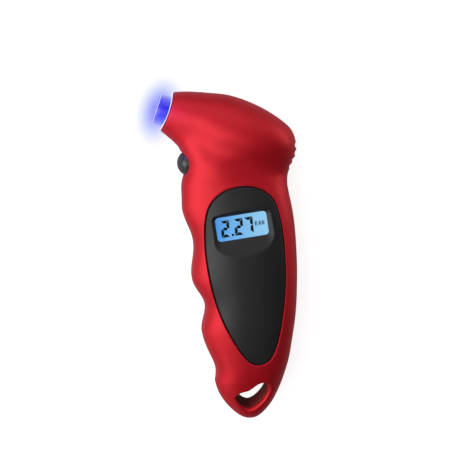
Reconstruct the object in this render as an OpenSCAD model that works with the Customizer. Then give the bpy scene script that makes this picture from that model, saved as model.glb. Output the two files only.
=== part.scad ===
// Digital tyre pressure gauge, pistol-shaped, lying on its flat back.
// +Z is the display's normal, +Y runs up the handle to the head, +X is the
// display's right-hand side. The origin is the centre of the footprint, on
// the surface that the back rests on. All sizes are in millimetres.

/* [Housing] */
// Wall thickness of the two shells
wall = 2.0; // [1.8:0.1:2.2]
// Depth of the finger grooves, as a share of the normal depth
groove_scale = 1.0; // [0:0.1:1.1]
// Depth of the hollow between the head and the handle
neck_depth = 2.9; // [0:0.1:3]
// Depth of the scallops between the thumb ribs
rib_depth = 0.7; // [0.3:0.1:1.0]
// Gap between the front panel and the edge of its opening
panel_gap = 0.2; // [0.15:0.05:0.3]
// How far the front panel lies below the shell's surface
panel_sink = 0.35; // [0.2:0.05:0.5]

/* [Display] */
// Visible width of the display
lcd_w = 24.2; // [22:0.2:24.4]
// Visible height of the display
lcd_h = 11.2; // [10:0.2:11.4]
// Height of the display window above the parting plane
lcd_z = 12.2; // [12.0:0.1:12.4]

/* [Nozzle] */
// Radius of the bore that takes the tyre valve
valve_bore_r = 4.1; // [4.0:0.05:4.3]
// Outer radius of the clear nozzle
nozzle_r = 7.4; // [7.0:0.1:7.4]
// How far the nozzle reaches out of the head
nozzle_reach = 6.0; // [5:0.5:7]
// Angle of the nozzle above the display's horizontal
nozzle_tilt = 27; // [26:1:28]

/* [Button] */
// Length of the button along the handle
button_len = 11.0; // [10:0.2:11.4]
// Width of the button across the handle
button_wid = 13.0; // [12:0.2:13.4]
// Travel of the button
button_travel = 0.8; // [0.4:0.1:0.9]

/* [Battery] */
// Radius of one button cell
cell_r = 5.8; // [5.7:0.05:5.85]
// Thickness of one button cell
cell_h = 5.4; // [5.2:0.1:5.4]
// How far the cover lifts off the back
cover_lift = 18; // [10:1:30]

/* [Hidden] */
$fn = 48;

// Height of the parting plane above the surface that the back rests on
back_z = 16;
// Footprint centre in the drawing's frame, whose zero is the display's centre
foot = [-0.52, -14.1];
module place() translate([-foot[0], -foot[1], back_z]) children();

// ---------------------------------------------------------------- outline
// Each row joins a point on the finger side to one on the thumb side:
// [finger x, y, thumb x, y, front height, rear height, front and rear power]
sec = [
  [-30.0, 49.0, -21.1, 66.1,  9.4,  9.4, 2.0, 2.0],
  [-27.7, 46.5, -14.2, 65.3, 10.3, 10.2, 2.0, 2.0],
  [-25.3, 43.7,  -5.3, 63.4, 11.7, 11.4, 2.05, 2.05],
  [-23.2, 40.7,   4.6, 60.7, 13.4, 12.9, 2.1, 2.1],
  [-22.2, 37.9,  14.6, 55.5, 15.2, 14.4, 2.15, 2.2],
  [-21.6, 35.3,  23.4, 49.0, 16.6, 15.6, 2.2, 2.3],
  [-21.2, 32.8,  30.4, 41.6, 17.3, 16.4, 2.25, 2.4],
  [-21.4, 30.4,  32.3, 35.0, 17.2, 16.8, 2.3, 2.6],
  [-22.4, 27.7,  31.6, 29.1, 16.2, 17.0, 2.3, 2.8],
  [-23.7, 24.9,  28.8, 24.2, 15.2, 17.0, 2.35, 3.0],
  [-24.6, 21.4,  26.5, 20.3, 14.5, 17.0, 2.4, 3.1],
  [-25.1, 17.0,  25.5, 15.6, 14.4, 17.1, 2.45, 3.2],
  [-25.8, 11.9,  25.6, 10.7, 14.7, 17.2, 2.5, 3.2],
  [-26.1,  5.8,  26.0,  4.7, 15.1, 17.2, 2.5, 3.2],
  [-26.2, -1.4,  26.1, -2.2, 15.4, 17.2, 2.5, 3.2],
  [-26.3, -9.6,  25.7, -10.0, 15.6, 17.2, 2.5, 3.2],
  [-26.4, -17.8, 25.0, -18.0, 15.7, 17.2, 2.5, 3.2],
  [-26.3, -26.0, 24.1, -26.0, 15.7, 17.2, 2.5, 3.2],
  [-26.0, -34.2, 22.8, -34.2, 15.6, 17.2, 2.5, 3.2],
  [-25.6, -42.4, 21.3, -42.4, 15.3, 17.1, 2.5, 3.2],
  [-25.6, -50.6, 19.3, -50.6, 14.9, 17.0, 2.5, 3.2],
  [-25.0, -58.8, 16.8, -58.8, 14.2, 16.7, 2.5, 3.2],
  [-24.0, -66.5, 14.2, -67.0, 13.2, 15.8, 2.45, 3.0],
  [-23.2, -73.2, 11.4, -73.4, 11.8, 14.2, 2.4, 2.8],
  [-22.3, -78.5,  8.7, -78.8, 10.3, 12.2, 2.3, 2.6],
  [-20.6, -82.9,  6.0, -83.3,  8.8, 10.2, 2.2, 2.4],
  [-18.1, -87.1,  3.0, -87.5,  7.2,  8.1, 2.1, 2.2],
  [-15.2, -90.7, -0.9, -91.3,  5.2,  5.8, 2.0, 2.0],
  [-11.9, -93.4, -4.8, -93.8,  2.7,  3.0, 2.0, 2.0],
  [ -8.4, -94.3, -8.4, -94.3,  0.0,  0.0, 2.0, 2.0]];
last = len(sec) - 1;
// Crests between the finger grooves, and each groove's depth
crest_y = [12.4, -22.4, -48.6, -73.8];
groove_d = [3.2, 3.7, 2.1];
// Below 1, a groove is deepest nearer to its lower crest
groove_lean = [1, 1, 0.6];
// Inward bow of the head's mouth
mouth_bow = 0.9;

// Past the tip a row is the mirror of the one before it, which rounds the end
function row(i) = i < 0 ? 2 * sec[0] - sec[1]
  : i > last ? let (r = sec[2 * last - i]) [r[2], r[3], r[0], r[1], -r[4], -r[5], r[6], r[7]]
  : sec[i];
function cr(a, b, c, d, u) = 0.5 * (2 * b + (c - a) * u
  + (2 * a - 5 * b + 4 * c - d) * u * u + (3 * b - a - 3 * c + d) * u * u * u);
function S(t) = let (i = min(floor(t), last - 1))
  cr(row(i - 1), row(i), row(i + 1), row(i + 2), t - i);
function unit(v) = v / norm(v);
function groove(y) = groove_scale * (
  y > crest_y[0] || y < crest_y[3] ? 0 :
  let (k = y > crest_y[1] ? 0 : y > crest_y[2] ? 1 : 2,
       f = (y - crest_y[k + 1]) / (crest_y[k] - crest_y[k + 1]))
  groove_d[k] * (1 - cos(360 * pow(f, groove_lean[k]))) / 2);
function side_w(s) = pow((1 - s) / 2, 3);
// Half length of a row that is taken in by off, and its height on either side
function half_len(r, off) = max(norm([r[2] - r[0], r[3] - r[1]]) / 2 - off, 0.01);
function high(r, side, off) = side > 0 ? max(r[4] - off, 0.01)
  : off > 0 ? min(max(r[5] - off, 0.01), back_z - off) : r[5];
function power(r, side) = side > 0 ? r[6] : r[7];
axis_n = [-cos(nozzle_tilt), sin(nozzle_tilt)];
// Hollow on the front between the head's barrel and the handle. It runs along
// the barrel's lower side, and fades out above the button.
function ease(x, a, b) = let (f = min(max((x - a) / (b - a), 0), 1)) f * f * (3 - 2 * f);
function neck_line(x) = 33 - 0.5 * x + 0.004 * x * x;
function hollow(p, side) = side < 0 ? 0
  : neck_depth * exp(-pow((p[1] - neck_line(p[0])) / 8, 2)) * ease(p[0], -27, -9);
function pt(t, ph, side, off) = let (r = S(t), a = [r[0], r[1]], b = [r[2], r[3]],
    n = power(r, side), c = cos(ph),
    s = sign(c) * pow(abs(c), 2 / n),
    d = t > last - 0.01 ? [1, 0] : unit(b - a),
    bow = t < 2 ? mouth_bow * pow(1 - t / 2, 2) * (1 - s * s) : 0,
    p = (a + b) / 2 + d * (s * half_len(r, off) + groove(r[1]) * side_w(s)) - axis_n * bow)
  let (e = pow(abs(sin(ph)), 2 / n)) [p[0], p[1], (side * high(r, side, off) - hollow(p, side)) * e];
// Row on which a point of the plan lies, and the surface's height there
function find_t(p, lo, hi, n) = n == 0 ? (lo + hi) / 2 : let (m = (lo + hi) / 2, r = S(m))
  cross([r[2] - r[0], r[3] - r[1]], p - [r[0], r[1]]) > 0 ? find_t(p, lo, m, n - 1) : find_t(p, m, hi, n - 1);
function find_s(x, h, g, s, n) = n == 0 ? s : find_s(x, h, g, (x - g * side_w(s)) / h, n - 1);
function surf(p, side, off) = let (t = find_t(p, 7, last - 0.5, 18), r = S(t),
    a = [r[0], r[1]], b = [r[2], r[3]],
    s = find_s((p - (a + b) / 2) * unit(b - a), half_len(r, off), groove(r[1]), 0, 8),
    n = power(r, side))
  (side * high(r, side, off) - hollow(p, side)) * pow(max(1 - pow(abs(s), n), 0), 1 / n);

rows_t = [for (i = [0:47]) i * 28.55 / 47];
cols = 14;
// One half of the housing: solid, or a shell with the cavity taken out
module half(side, hollow = true, off = 0) {
  M = len(rows_t); J = cols; W = J + 1; end_in = 26.2;
  function flip(f) = side > 0 ? f : [for (i = [len(f) - 1:-1:0]) f[i]];
  outer = [for (t = rows_t) for (j = [0:J]) pt(t, 180 * j / J, side, off)];
  tip = [[sec[last][0], sec[last][1], 0]];
  inner = hollow ? [for (t = rows_t) for (j = [0:J]) pt(t * end_in / 28.55, 180 * j / J, side, wall)] : [];
  B = M * W + 1; P = M * W;
  shared = concat(
    [for (i = [0:M - 2]) for (j = [0:J - 1]) [i * W + j, (i + 1) * W + j, (i + 1) * W + j + 1, i * W + j + 1]],
    [for (j = [0:J - 1]) [(M - 1) * W + j, P, (M - 1) * W + j + 1]]);
  closed = concat(
    [for (i = [0:M - 2]) [(i + 1) * W, i * W, i * W + J, (i + 1) * W + J]],
    [[P, (M - 1) * W, (M - 1) * W + J]], [[for (j = [0:J]) j]]);
  shelled = concat(
    [for (i = [0:M - 2]) for (j = [0:J - 1]) [B + i * W + j, B + i * W + j + 1, B + (i + 1) * W + j + 1, B + (i + 1) * W + j]],
    [[for (j = [0:J]) B + (M - 1) * W + j]],
    [for (i = [0:M - 2]) [(i + 1) * W, i * W, B + i * W, B + (i + 1) * W]],
    [for (i = [0:M - 2]) [i * W + J, (i + 1) * W + J, B + (i + 1) * W + J, B + i * W + J]],
    [[P, (M - 1) * W, B + (M - 1) * W, B + (M - 1) * W + J, (M - 1) * W + J]],
    [for (j = [0:J - 1]) [j, j + 1, B + j + 1, B + j]]);
  polyhedron(concat(outer, tip, inner), [for (f = concat(shared, hollow ? shelled : closed)) flip(f)], convexity = 8);
}

// ------------------------------------------------------------ shared cuts
// Egg-shaped outline of the front panel, clockwise from its top
egg_pts = [[1.3, 18.4], [7.4, 17.4], [12.8, 14.5], [16.6, 9.8], [18.3, 2.5], [18.7, -7],
  [18.0, -18], [16.4, -30], [13.7, -42], [10.3, -53], [7.0, -60.6], [3.4, -65], [-1.2, -66.4],
  [-5.4, -64.7], [-8.8, -60], [-12.4, -52], [-15.6, -42.5], [-17.6, -33], [-18.6, -22],
  [-18.7, -11], [-17.8, -2], [-16.4, 5], [-14, 11], [-10.2, 15], [-5, 17.6]];
function egg(u) = let (n = len(egg_pts), i = floor(u), q = function (k) egg_pts[(k + n) % n])
  cr(q(i - 1), q(i), q(i + 1), q(i + 2), u - i);
egg_u = [for (i = [0:49]) i / 2];
function egg_ring(d) = [for (u = egg_u) let (v = unit(egg(u + 0.02) - egg(u + 24.98))) egg(u) + d * [-v[1], v[0]]];

// Strap hole through the tail: a bean-shaped outline, clockwise from its finger
// end, that leans a little towards the handle as it goes down to the back
strap_pts = [[-15, -81.6], [-12.6, -79.4], [-8.2, -78.6], [-4, -76.4], [-1.2, -75.9], [0.8, -77.2],
  [1.2, -79.8], [-0.4, -83], [-3.4, -85.8], [-6.8, -87.7], [-10, -88], [-13.2, -85.6]];
function strap_at(i, u) = let (n = len(strap_pts), q = function (k) strap_pts[(k + n) % n])
  cr(q(i - 1), q(i), q(i + 1), q(i + 2), u);
module strap_plan(d = 0) offset(r = d, $fn = 24) polygon([for (i = [0:len(strap_pts) - 1]) for (u = [0, 0.33, 0.67]) strap_at(i, u)]);
module strap_lean() multmatrix([[1, 0, -0.058, 0.551], [0, 1, -0.088, 0.836], [0, 0, 1, 0], [0, 0, 0, 1]]) children();
module strap_cut() strap_lean() translate([0, 0, -30]) linear_extrude(60) strap_plan();

// Nozzle line: z runs out of the head from the middle of its mouth
mouth = [-25.5, 57.5];
module on_nozzle() translate([mouth[0], mouth[1], 0]) rotate([0, 0, 180 - nozzle_tilt]) rotate([0, 90, 0]) children();
module nozzle_cut() on_nozzle() {
  translate([0, 0, -7]) cylinder(r = nozzle_r + 0.15, h = 16);
  translate([0, 0, -9.4]) cylinder(r = 8.8, h = 3.2);
}
// Half collar that carries the nozzle in one shell
module nozzle_collar(side) on_nozzle() translate([0, 0, -6.2])
  rotate([0, 0, side > 0 ? 90 : -90]) rotate_extrude(angle = 180)
  translate([nozzle_r + 0.15, 0]) square([1.5, 4]);

// Button slot, along X, with rounded ends
btn = [-21.2, 32.2];
module slot_plan(l, w) {
  square([w - l, l], center = true);
  for (k = [-1, 1]) translate([k * (w - l) / 2, 0]) circle(l / 2);
}
module along_x(x, h) translate([x, btn[1], 0]) rotate([0, 90, 0]) linear_extrude(h) children();
module button_cut() along_x(-30, 14) slot_plan(button_len + 0.4, button_wid + 0.4);

// Scallops between the thumb ribs, as far round as the thumb reaches
rib_at = [[32.4, 33.0], [31.9, 29.6], [30.3, 26.4], [28.5, 23.6]];
module rib_cut() for (i = [0:3]) let (o = rib_at[i], v = unit(i < 3 ? rib_at[i + 1] - o : o - rib_at[2]))
  translate([o[0] - v[1] * (2.2 - rib_depth), o[1] + v[0] * (2.2 - rib_depth), -9]) cylinder(r = 2.2, h = 18);

// Screw posts: [x, y, front post's top, rear counterbore's floor]
posts = [[15, 43, 12.8, -11.2], [-18.6, 16.8, 10.6, -11], [-17.4, -54, 10.8, -11], [6.2, -72.4, 8.6, -8.4]];

// ---------------------------------------------------------------- housing
module front_shell() color([0.76, 0.07, 0.11]) place() difference() {
  union() {
    half(1);
    intersection() {
      union() {
        strap_lean() translate([0, 0, -1]) linear_extrude(20) strap_plan(1.8);
        for (p = posts) translate([p[0], p[1], -1]) cylinder(r = 2.7, h = p[2] + 1);
      }
      half(1, false, 0.6);
    }
    nozzle_collar(1);
  }
  translate([0, 0, 3]) linear_extrude(20) polygon(egg_ring(panel_gap));
  strap_cut(); nozzle_cut(); button_cut(); rib_cut();
  for (p = posts) translate([p[0], p[1], -1]) cylinder(r = 1.25, h = 7.4);
}

module cover_plan(d = 0) hull() {
  translate([0, -22.5]) circle(10.5 + d, $fn = 64);
  translate([-1, -48]) circle(7 + d, $fn = 64);
}
bay = [12.6, 21.4]; bay_c = [0, -33.8];
module rear_shell() color([0.7, 0.06, 0.1]) place() difference() {
  union() {
    half(-1);
    intersection() {
      union() {
        strap_lean() translate([0, 0, -20]) linear_extrude(21) strap_plan(1.8);
        for (p = posts) translate([p[0], p[1], -20]) cylinder(r = 3.6, h = 21);
      }
      half(-1, false, 0.6);
    }
    nozzle_collar(-1);
    // Floor under the cover, the battery tub's walls and the cover's screw post
    translate([0, 0, -14.6]) linear_extrude(2.2) cover_plan(1.4);
    translate([bay_c[0] - bay[0] / 2 - 1.2, bay_c[1] - bay[1] / 2 - 1.2, -14]) cube([bay[0] + 2.4, bay[1] + 2.4, 13.2]);
    translate([-1, -49.3, -13]) cylinder(r = 2.6, h = 6.5);
  }
  translate([-100, -120, -40]) cube([200, 220, 40 - back_z]);
  translate([0, 0, -20]) linear_extrude(20 - 14.2) cover_plan(0.2);
  translate([bay_c[0] - bay[0] / 2, bay_c[1] - bay[1] / 2, -18]) cube([bay[0], bay[1], 16]);
  // Slots that let the battery wires out of the tub
  for (k = [-1, 1]) translate([-0.9, bay_c[1] + k * (bay[1] / 2 + 0.6) - 1, -4.2]) cube([1.8, 2, 6]);
  translate([-1, -49.3, -20]) cylinder(r = 1.05, h = 12.4);
  strap_cut(); nozzle_cut(); button_cut(); rib_cut();
  for (p = posts) translate([p[0], p[1], 0]) {
    translate([0, 0, -30]) cylinder(r = 1.4, h = 32);
    translate([0, 0, p[3] - 20]) cylinder(r = 2.7, h = 20);
  }
}

// Front panel: the face, a rim behind the shell's wall, and the back
module panel_solid() {
  n = len(egg_u); c = [0, -22];
  function scaled(f) = [for (p = egg_ring(0)) c + f * (p - c)];
  function lift(ring, dz) = [for (p = ring) [p[0], p[1], surf(p, 1, 0) - dz]];
  function under(ring, dz) = [for (p = ring) [p[0], p[1], surf(p, 1, wall + 0.35) - dz]];
  rim = egg_ring(0.9);
  rings = [lift(scaled(0.3), panel_sink), lift(scaled(0.6), panel_sink), lift(scaled(0.85), panel_sink),
    lift(egg_ring(0), panel_sink), under(egg_ring(0), 0), under(rim, 0), under(rim, 0.9),
    under(scaled(0.9), 0.9), under(scaled(0.6), 0.9), under(scaled(0.3), 0.9)];
  k = len(rings); front = k * n; rear = front + 1;
  pts = concat([for (r = rings) each r], [[c[0], c[1], surf(c, 1, 0) - panel_sink]], [[c[0], c[1], surf(c, 1, wall + 0.35) - 0.9]]);
  faces = concat(
    [for (j = [0:n - 1]) [front, j, (j + 1) % n]],
    [for (i = [0:k - 2]) for (j = [0:n - 1]) each let (a = i * n + j, b = i * n + (j + 1) % n, d = (i + 1) * n + j, e = (i + 1) * n + (j + 1) % n) [[a, d, e], [a, e, b]]],
    [for (j = [0:n - 1]) [rear, (k - 1) * n + (j + 1) % n, (k - 1) * n + j]]);
  polyhedron(pts, faces, convexity = 8);
}
// Display pocket: its lower side is a gentle ramp
// Rectangle with round corners: lower left, lower right, upper left, upper right
module rounded(x0, y0, x1, y1, r) hull() {
  translate([x0 + r[0], y0 + r[0]]) circle(r[0], $fn = 36);
  translate([x1 - r[1], y0 + r[1]]) circle(r[1], $fn = 36);
  translate([x0 + r[2], y1 - r[2]]) circle(r[2], $fn = 36);
  translate([x1 - r[3], y1 - r[3]]) circle(r[3], $fn = 36);
}
module pocket_cut() hull() {
  translate([0, 0, lcd_z]) linear_extrude(0.01) rounded(-lcd_w / 2, -lcd_h / 2, lcd_w / 2, lcd_h / 2, [1.7, 1.7, 1.7, 1.7]);
  translate([0, 0, lcd_z + 5]) linear_extrude(0.01) rounded(-lcd_w / 2 - 9, -lcd_h / 2 - 14.5, lcd_w / 2 + 11, lcd_h / 2 + 4.2, [5, 14.5, 5.5, 6]);
}
panel_posts = [[-11.5, -18.6], [11.5, -18.6]];
module front_panel() color([0.13, 0.13, 0.13]) place() difference() {
  union() {
    panel_solid();
    translate([-14.8, -9.6, 8.8]) cube([29.6, 17.8, 3.3]);
    for (p = panel_posts) translate([p[0], p[1], 3.5]) cylinder(r = 2.1, h = 9);
  }
  pocket_cut();
  translate([-lcd_w / 2 - 1.3, -8.3, 5]) cube([lcd_w + 2.6, 15.2, lcd_z - 5]);
  translate([-lcd_w / 2, -lcd_h / 2, 8]) cube([lcd_w, lcd_h, lcd_z - 7.9]);
  for (p = panel_posts) translate([p[0], p[1], 3]) cylinder(r = 0.95, h = 6);
}

// ---------------------------------------------------------------- display
module display_window() color([0.85, 0.93, 0.98, 0.4]) place()
  translate([-lcd_w / 2 - 1.1, -8.1, lcd_z - 1.25]) cube([lcd_w + 2.2, 14.8, 1.2]);
module lcd_glass() color([0.45, 0.7, 0.95]) place()
  translate([-lcd_w / 2 - 1.1, -8.1, lcd_z - 3.1]) cube([lcd_w + 2.2, 14.8, 1.7]);
module light_guide() color([0.75, 0.88, 1.0]) place()
  translate([-lcd_w / 2 - 0.9, -5.6, lcd_z - 6.0]) cube([lcd_w + 1.8, 12.1, 2.6]);
module lcd_holder() color([0.93, 0.93, 0.92]) place() difference() {
  translate([-14.6, -9.4, 3.5]) cube([29.2, 17.4, 5.1]);
  translate([-lcd_w / 2 - 1.1, -5.8, 3]) cube([lcd_w + 2.2, 12.5, 6]);
  translate([-12.2, -8.2, 3]) cube([24.4, 2.0, 6]);
}
module zebra_strip() color([0.85, 0.5, 0.55]) place() translate([-12, -8.1, 3.45]) cube([24, 1.8, lcd_z - 3.1 - 3.5]);
module backlight_led() color([0.95, 0.95, 0.85]) place() for (k = [-1, 1]) translate([k * 7 - 1.6, 0.3 - 0.8, 3.45]) cube([3.2, 1.6, 1.4]);

// ------------------------------------------------------------ electronics
module main_board() color([0.1, 0.42, 0.2]) place() difference() {
  translate([0, 0, 2.2]) linear_extrude(1.2) polygon([[-14.8, -22], [14.8, -22], [14.8, 18], [8, 27], [-6, 27], [-8.8, 30], [-8.8, 37.6], [-14.6, 37.6], [-14.6, 22]]);
  for (p = panel_posts) translate([p[0], p[1], 1]) cylinder(r = 1.1, h = 4);
}
module controller_cap() color([0.05, 0.05, 0.05]) place() translate([0, -1, 2.15]) rotate([180, 0, 0]) difference() {
  translate([0, 0, -6.2]) sphere(r = 7.8);
  translate([-10, -10, -20]) cube([20, 20, 20]);
}
module board_parts() color([0.72, 0.62, 0.45]) place() {
  for (p = [[-9, 8], [-9, 4], [9, 8], [9, 4], [-5, 13], [5, 13]]) translate([p[0] - 1, p[1] - 0.6, 1.2]) cube([2, 1.2, 0.95]);
  translate([-3.5, 17, 0.2]) rotate([90, 0, 90]) cylinder(r = 1, h = 7);
  translate([10.2, 12.4, -0.3]) cylinder(r = 2, h = 2.4);
}
module pressure_sensor() color([0.88, 0.88, 0.86]) place() {
  translate([-2, 17.6, 3.45]) cube([8, 7, 3.4]);
  translate([2, 24.5, 5.65]) rotate([-90, 0, 0]) cylinder(r = 1.2, h = 3.6);
}
// Round section swept along a route, with square ends
function tangent(p, i) = unit(p[min(i + 1, len(p) - 1)] - p[max(i - 1, 0)]);
function frame_at(p, i) = let (w = tangent(p, i), u = unit(cross(w, abs(w[2]) < 0.9 ? [0, 0, 1] : [1, 0, 0]))) [u, cross(w, u)];
function ring_at(p, i, r, m) = let (f = frame_at(p, i)) [for (k = [0:m - 1]) p[i] + r * (cos(360 * k / m) * f[0] + sin(360 * k / m) * f[1])];
function smooth_route(q, k) = [for (i = [0:len(q) - 2]) for (j = [0:k - 1])
  cr(q[max(i - 1, 0)], q[i], q[i + 1], q[min(i + 2, len(q) - 1)], j / k), q[len(q) - 1]];
module sweep(p, r, m = 8, bore = 0) {
  n = len(p);
  function band(o, i, j) = [o + i * m + j, o + i * m + (j + 1) % m, o + (i + 1) * m + (j + 1) % m, o + (i + 1) * m + j];
  function rev(f) = [for (i = [len(f) - 1:-1:0]) f[i]];
  outer = [for (i = [0:n - 1]) each ring_at(p, i, r, m)];
  inner = bore > 0 ? [for (i = [0:n - 1]) each ring_at(p, i, bore, m)] : [];
  polyhedron(concat(outer, inner), concat(
    [for (i = [0:n - 2]) for (j = [0:m - 1]) rev(band(0, i, j))],
    bore > 0 ? [for (i = [0:n - 2]) for (j = [0:m - 1]) band(n * m, i, j)] : [],
    bore > 0 ? [for (j = [0:m - 1]) let (k = (j + 1) % m) [j, k, n * m + k, n * m + j]] : [[for (j = [0:m - 1]) j]],
    bore > 0 ? [for (j = [0:m - 1]) let (k = (j + 1) % m, o = (n - 1) * m) [o + k, o + j, n * m + o + j, n * m + o + k]]
      : [[for (j = [m - 1:-1:0]) (n - 1) * m + j]]), convexity = 6);
}
function down_nozzle(a) = [mouth[0] + a * axis_n[0], mouth[1] + a * axis_n[1], 0];
module air_tube() color([0.86, 0.86, 0.84]) place()
  sweep(smooth_route([down_nozzle(-11.6), down_nozzle(-14.4), down_nozzle(-17.2), [-6.2, 47.2, 0.6], [-0.6, 42.2, 2], [1.8, 36, 4.4], [2, 31, 5.65], [2, 28.2, 5.65], [2, 25.4, 5.65]], 2), 2.1, 10, 1.5);

module side_switch() color([0.2, 0.2, 0.22]) place() difference() {
  translate([-14.4, btn[1] - 3, -1.9]) cube([4.4, 6, 4.05]);
  along_x(-15, 4.0) circle(1.35);
}
module switch_plunger() color([0.9, 0.9, 0.88]) place() along_x(-15.6, 3.1) circle(1.2);
module power_button() color([0.17, 0.18, 0.19]) place() {
  intersection() {
    along_x(-27, 11) slot_plan(button_len, button_wid);
    translate([-17.9, btn[1], 0]) scale([7.0, 6.6, 7.4]) sphere(r = 1, $fn = 64);
  }
  along_x(-16.9, 0.9) slot_plan(button_len + 2, button_wid + 1);
  along_x(-17, 1.35) circle(1.6);
}

// ----------------------------------------------------------------- nozzle
// Thin pale ring that follows the edge of the head's mouth, round the nozzle
module mouth_band() {
  n = 2 * cols;
  function along(p, h) = [p[0] + h * axis_n[0], p[1] + h * axis_n[1], p[2]];
  function loop(off, h) = concat(
    [for (j = [0:cols - 1]) along(pt(0, 180 * j / cols, 1, off), h)],
    [for (j = [0:cols - 1]) along(pt(0, 180 - 180 * j / cols, -1, off), h)]);
  function band(a, b) = [for (j = [0:n - 1]) let (k = (j + 1) % n) each [[a * n + j, a * n + k, b * n + k], [a * n + j, b * n + k, b * n + j]]];
  polyhedron(concat(loop(1.7, 0.05), loop(0.3, 0.05), loop(0.3, 0.62), loop(1.7, 0.62)),
    concat(band(0, 1), band(1, 2), band(2, 3), band(3, 0)), convexity = 4);
}
module mouth_ring() color([0.9, 0.9, 0.97]) place() mouth_band();
module nozzle_tip() color([0.45, 0.5, 1.0, 0.5]) place() on_nozzle() difference() {
  rotate_extrude() {
    translate([2, -9]) square([nozzle_r - 2, 6.4 + nozzle_reach]);
    translate([2, -9]) square([nozzle_r - 4.4, 9 + nozzle_reach]);
    translate([nozzle_r - 2.6, nozzle_reach - 2.6]) circle(2.6);
    translate([2, -9]) square([6.5, 2.4]);
  }
  translate([0, 0, -10]) cylinder(r = valve_bore_r, h = 30);
  translate([0, 0, -10]) cylinder(r = 5.6, h = 10.6);
  translate([0, 0, nozzle_reach - 0.8]) cylinder(r1 = valve_bore_r, r2 = valve_bore_r + 1, h = 1);
}
module valve_seal() color([0.08, 0.08, 0.08]) place() on_nozzle() rotate_extrude()
  polygon([[1.7, -2.5], [5.5, -2.5], [5.5, 0.5], [2.6, 0.5], [1.7, -0.3]]);
module inlet_stem() color([0.8, 0.62, 0.28]) place() on_nozzle() rotate_extrude()
  polygon([[0.5, -16.4], [1.1, -16.4], [1.3, -15.9], [1.1, -14.6], [1.3, -14.2], [1.1, -12.9], [1.1, -11.4], [2.2, -11.4], [2.2, -5.5], [5.4, -5.5], [5.4, -2.6], [1.4, -2.6], [1.4, -0.9], [1.0, -0.4], [0.5, -0.4]]);
module retaining_ring() color([0.75, 0.75, 0.77]) place() on_nozzle() rotate_extrude()
  translate([2.6, -8.6]) square([2.9, 3.0]);
module led_board() color([0.12, 0.4, 0.22]) place() on_nozzle() rotate_extrude() translate([3.4, -11.0]) square([4.8, 1.0]);
module nozzle_leds() color([0.6, 0.65, 1.0]) place() on_nozzle() for (k = [0:3]) rotate([0, 0, 45 + 90 * k])
  translate([5.9, -0.8, -9.95]) cube([1.2, 1.6, 0.8]);
module led_wires() color([0.8, 0.2, 0.15]) place() for (k = [-1, 1])
  sweep(smooth_route([[-17.8 - k * 0.6, 46.7 - k, -2.2], [-16.1 - k * 0.5, 45.6 - k, -2.2], [-13 - k, 42.6, -1.6], [-5.5 - k, 34, 0.2], [-4.2 - k, 28, 1.4], [-4.2 - k, 25, 1.7]], 2), 0.45, 8);

// ---------------------------------------------------------------- battery
module battery_cover() color([0.12, 0.12, 0.12]) place() difference() {
  union() {
    translate([0, 0, -15.9]) linear_extrude(1.6) cover_plan();
    // Rails that sit inside the mouth of the battery tub
    for (k = [-1, 1]) translate([k * 5.5 - 0.5, bay_c[1] - 9.6, -14.5]) cube([1, 19.2, 1.6]);
  }
  translate([-1, -49.3, -20]) cylinder(r = 1.2, h = 10);
  translate([-1, -49.3, -17]) cylinder(r = 2.3, h = 2.0);
  // Grip lines at the cover's upper end
  for (k = [0:3]) translate([-5, -15.4 - 1.6 * k, -16.3]) cube([10, 0.7, 0.8]);
}
module cross_slot(w, d) for (a = [0, 90]) rotate([0, 0, a]) translate([-w / 2, -0.3, -1]) cube([w, 0.6, 1 + d]);
module cover_screw() color([0.7, 0.7, 0.72]) place() translate([-1, -49.3, 0]) difference() {
  union() {
    translate([0, 0, -15.7]) cylinder(r1 = 1.7, r2 = 2.1, h = 0.7);
    translate([0, 0, -15.2]) cylinder(r = 0.95, h = 6.6);
  }
  translate([0, 0, -15.7]) cross_slot(2.4, 0.4);
}
cells_y = -23.95;
module button_cells() color([0.78, 0.78, 0.8]) place() for (k = [0:2])
  translate([0, cells_y - 0.02 - k * cell_h, -8.15]) rotate([90, 0, 0]) {
    cylinder(r = cell_r, h = cell_h - 1.2);
    translate([0, 0, cell_h - 1.2]) cylinder(r = cell_r - 0.8, h = 1.16);
  }
module contact_spring() color([0.75, 0.73, 0.65]) place() {
  turns = 3; m = 36;
  sweep([for (i = [0:m]) let (f = i / m, r = 4.6 - 2.4 * f, a = 360 * turns * f) [r * cos(a), -43.85 + 3.35 * f, -8.15 + r * sin(a)]], 0.3, 6);
}
module contact_plate() color([0.75, 0.73, 0.65]) place() translate([-4.5, -23.8, -13]) cube([9, 0.45, 10]);
module battery_wires() color([0.15, 0.15, 0.15]) place() {
  sweep(smooth_route([[0.3, -22.4, -3.2], [0.4, -21.2, -2.6], [3, -19.4, 0], [4, -18.6, 1.4], [4, -18, 1.75]], 2), 0.45, 8);
  sweep(smooth_route([[0.2, -45.2, -3.2], [0.4, -46.6, -2.4], [4, -47.2, -1], [8.8, -44, 0.6], [9.2, -34, 1], [8, -24, 1.2], [6, -18.4, 1.7]], 2), 0.45, 8);
}

// -------------------------------------------------------------- fasteners
module shell_screws() color([0.7, 0.7, 0.72]) place() for (p = posts) translate([p[0], p[1], p[3]]) difference() {
  union() {
    translate([0, 0, -1.6]) cylinder(r = 2.4, h = 1.55);
    translate([0, 0, -0.5]) cylinder(r = 1.15, h = 5.2 - p[3]);
  }
  translate([0, 0, -1.6]) cross_slot(3, 0.7);
}
module board_screws() color([0.7, 0.7, 0.72]) place() for (p = panel_posts) translate([p[0], p[1], 2.15]) difference() {
  union() {
    translate([0, 0, -1.2]) cylinder(r = 1.8, h = 1.2);
    translate([0, 0, -0.4]) cylinder(r = 0.85, h = 5.6);
  }
  translate([0, 0, -1.2]) cross_slot(2, 0.5);
}

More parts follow.
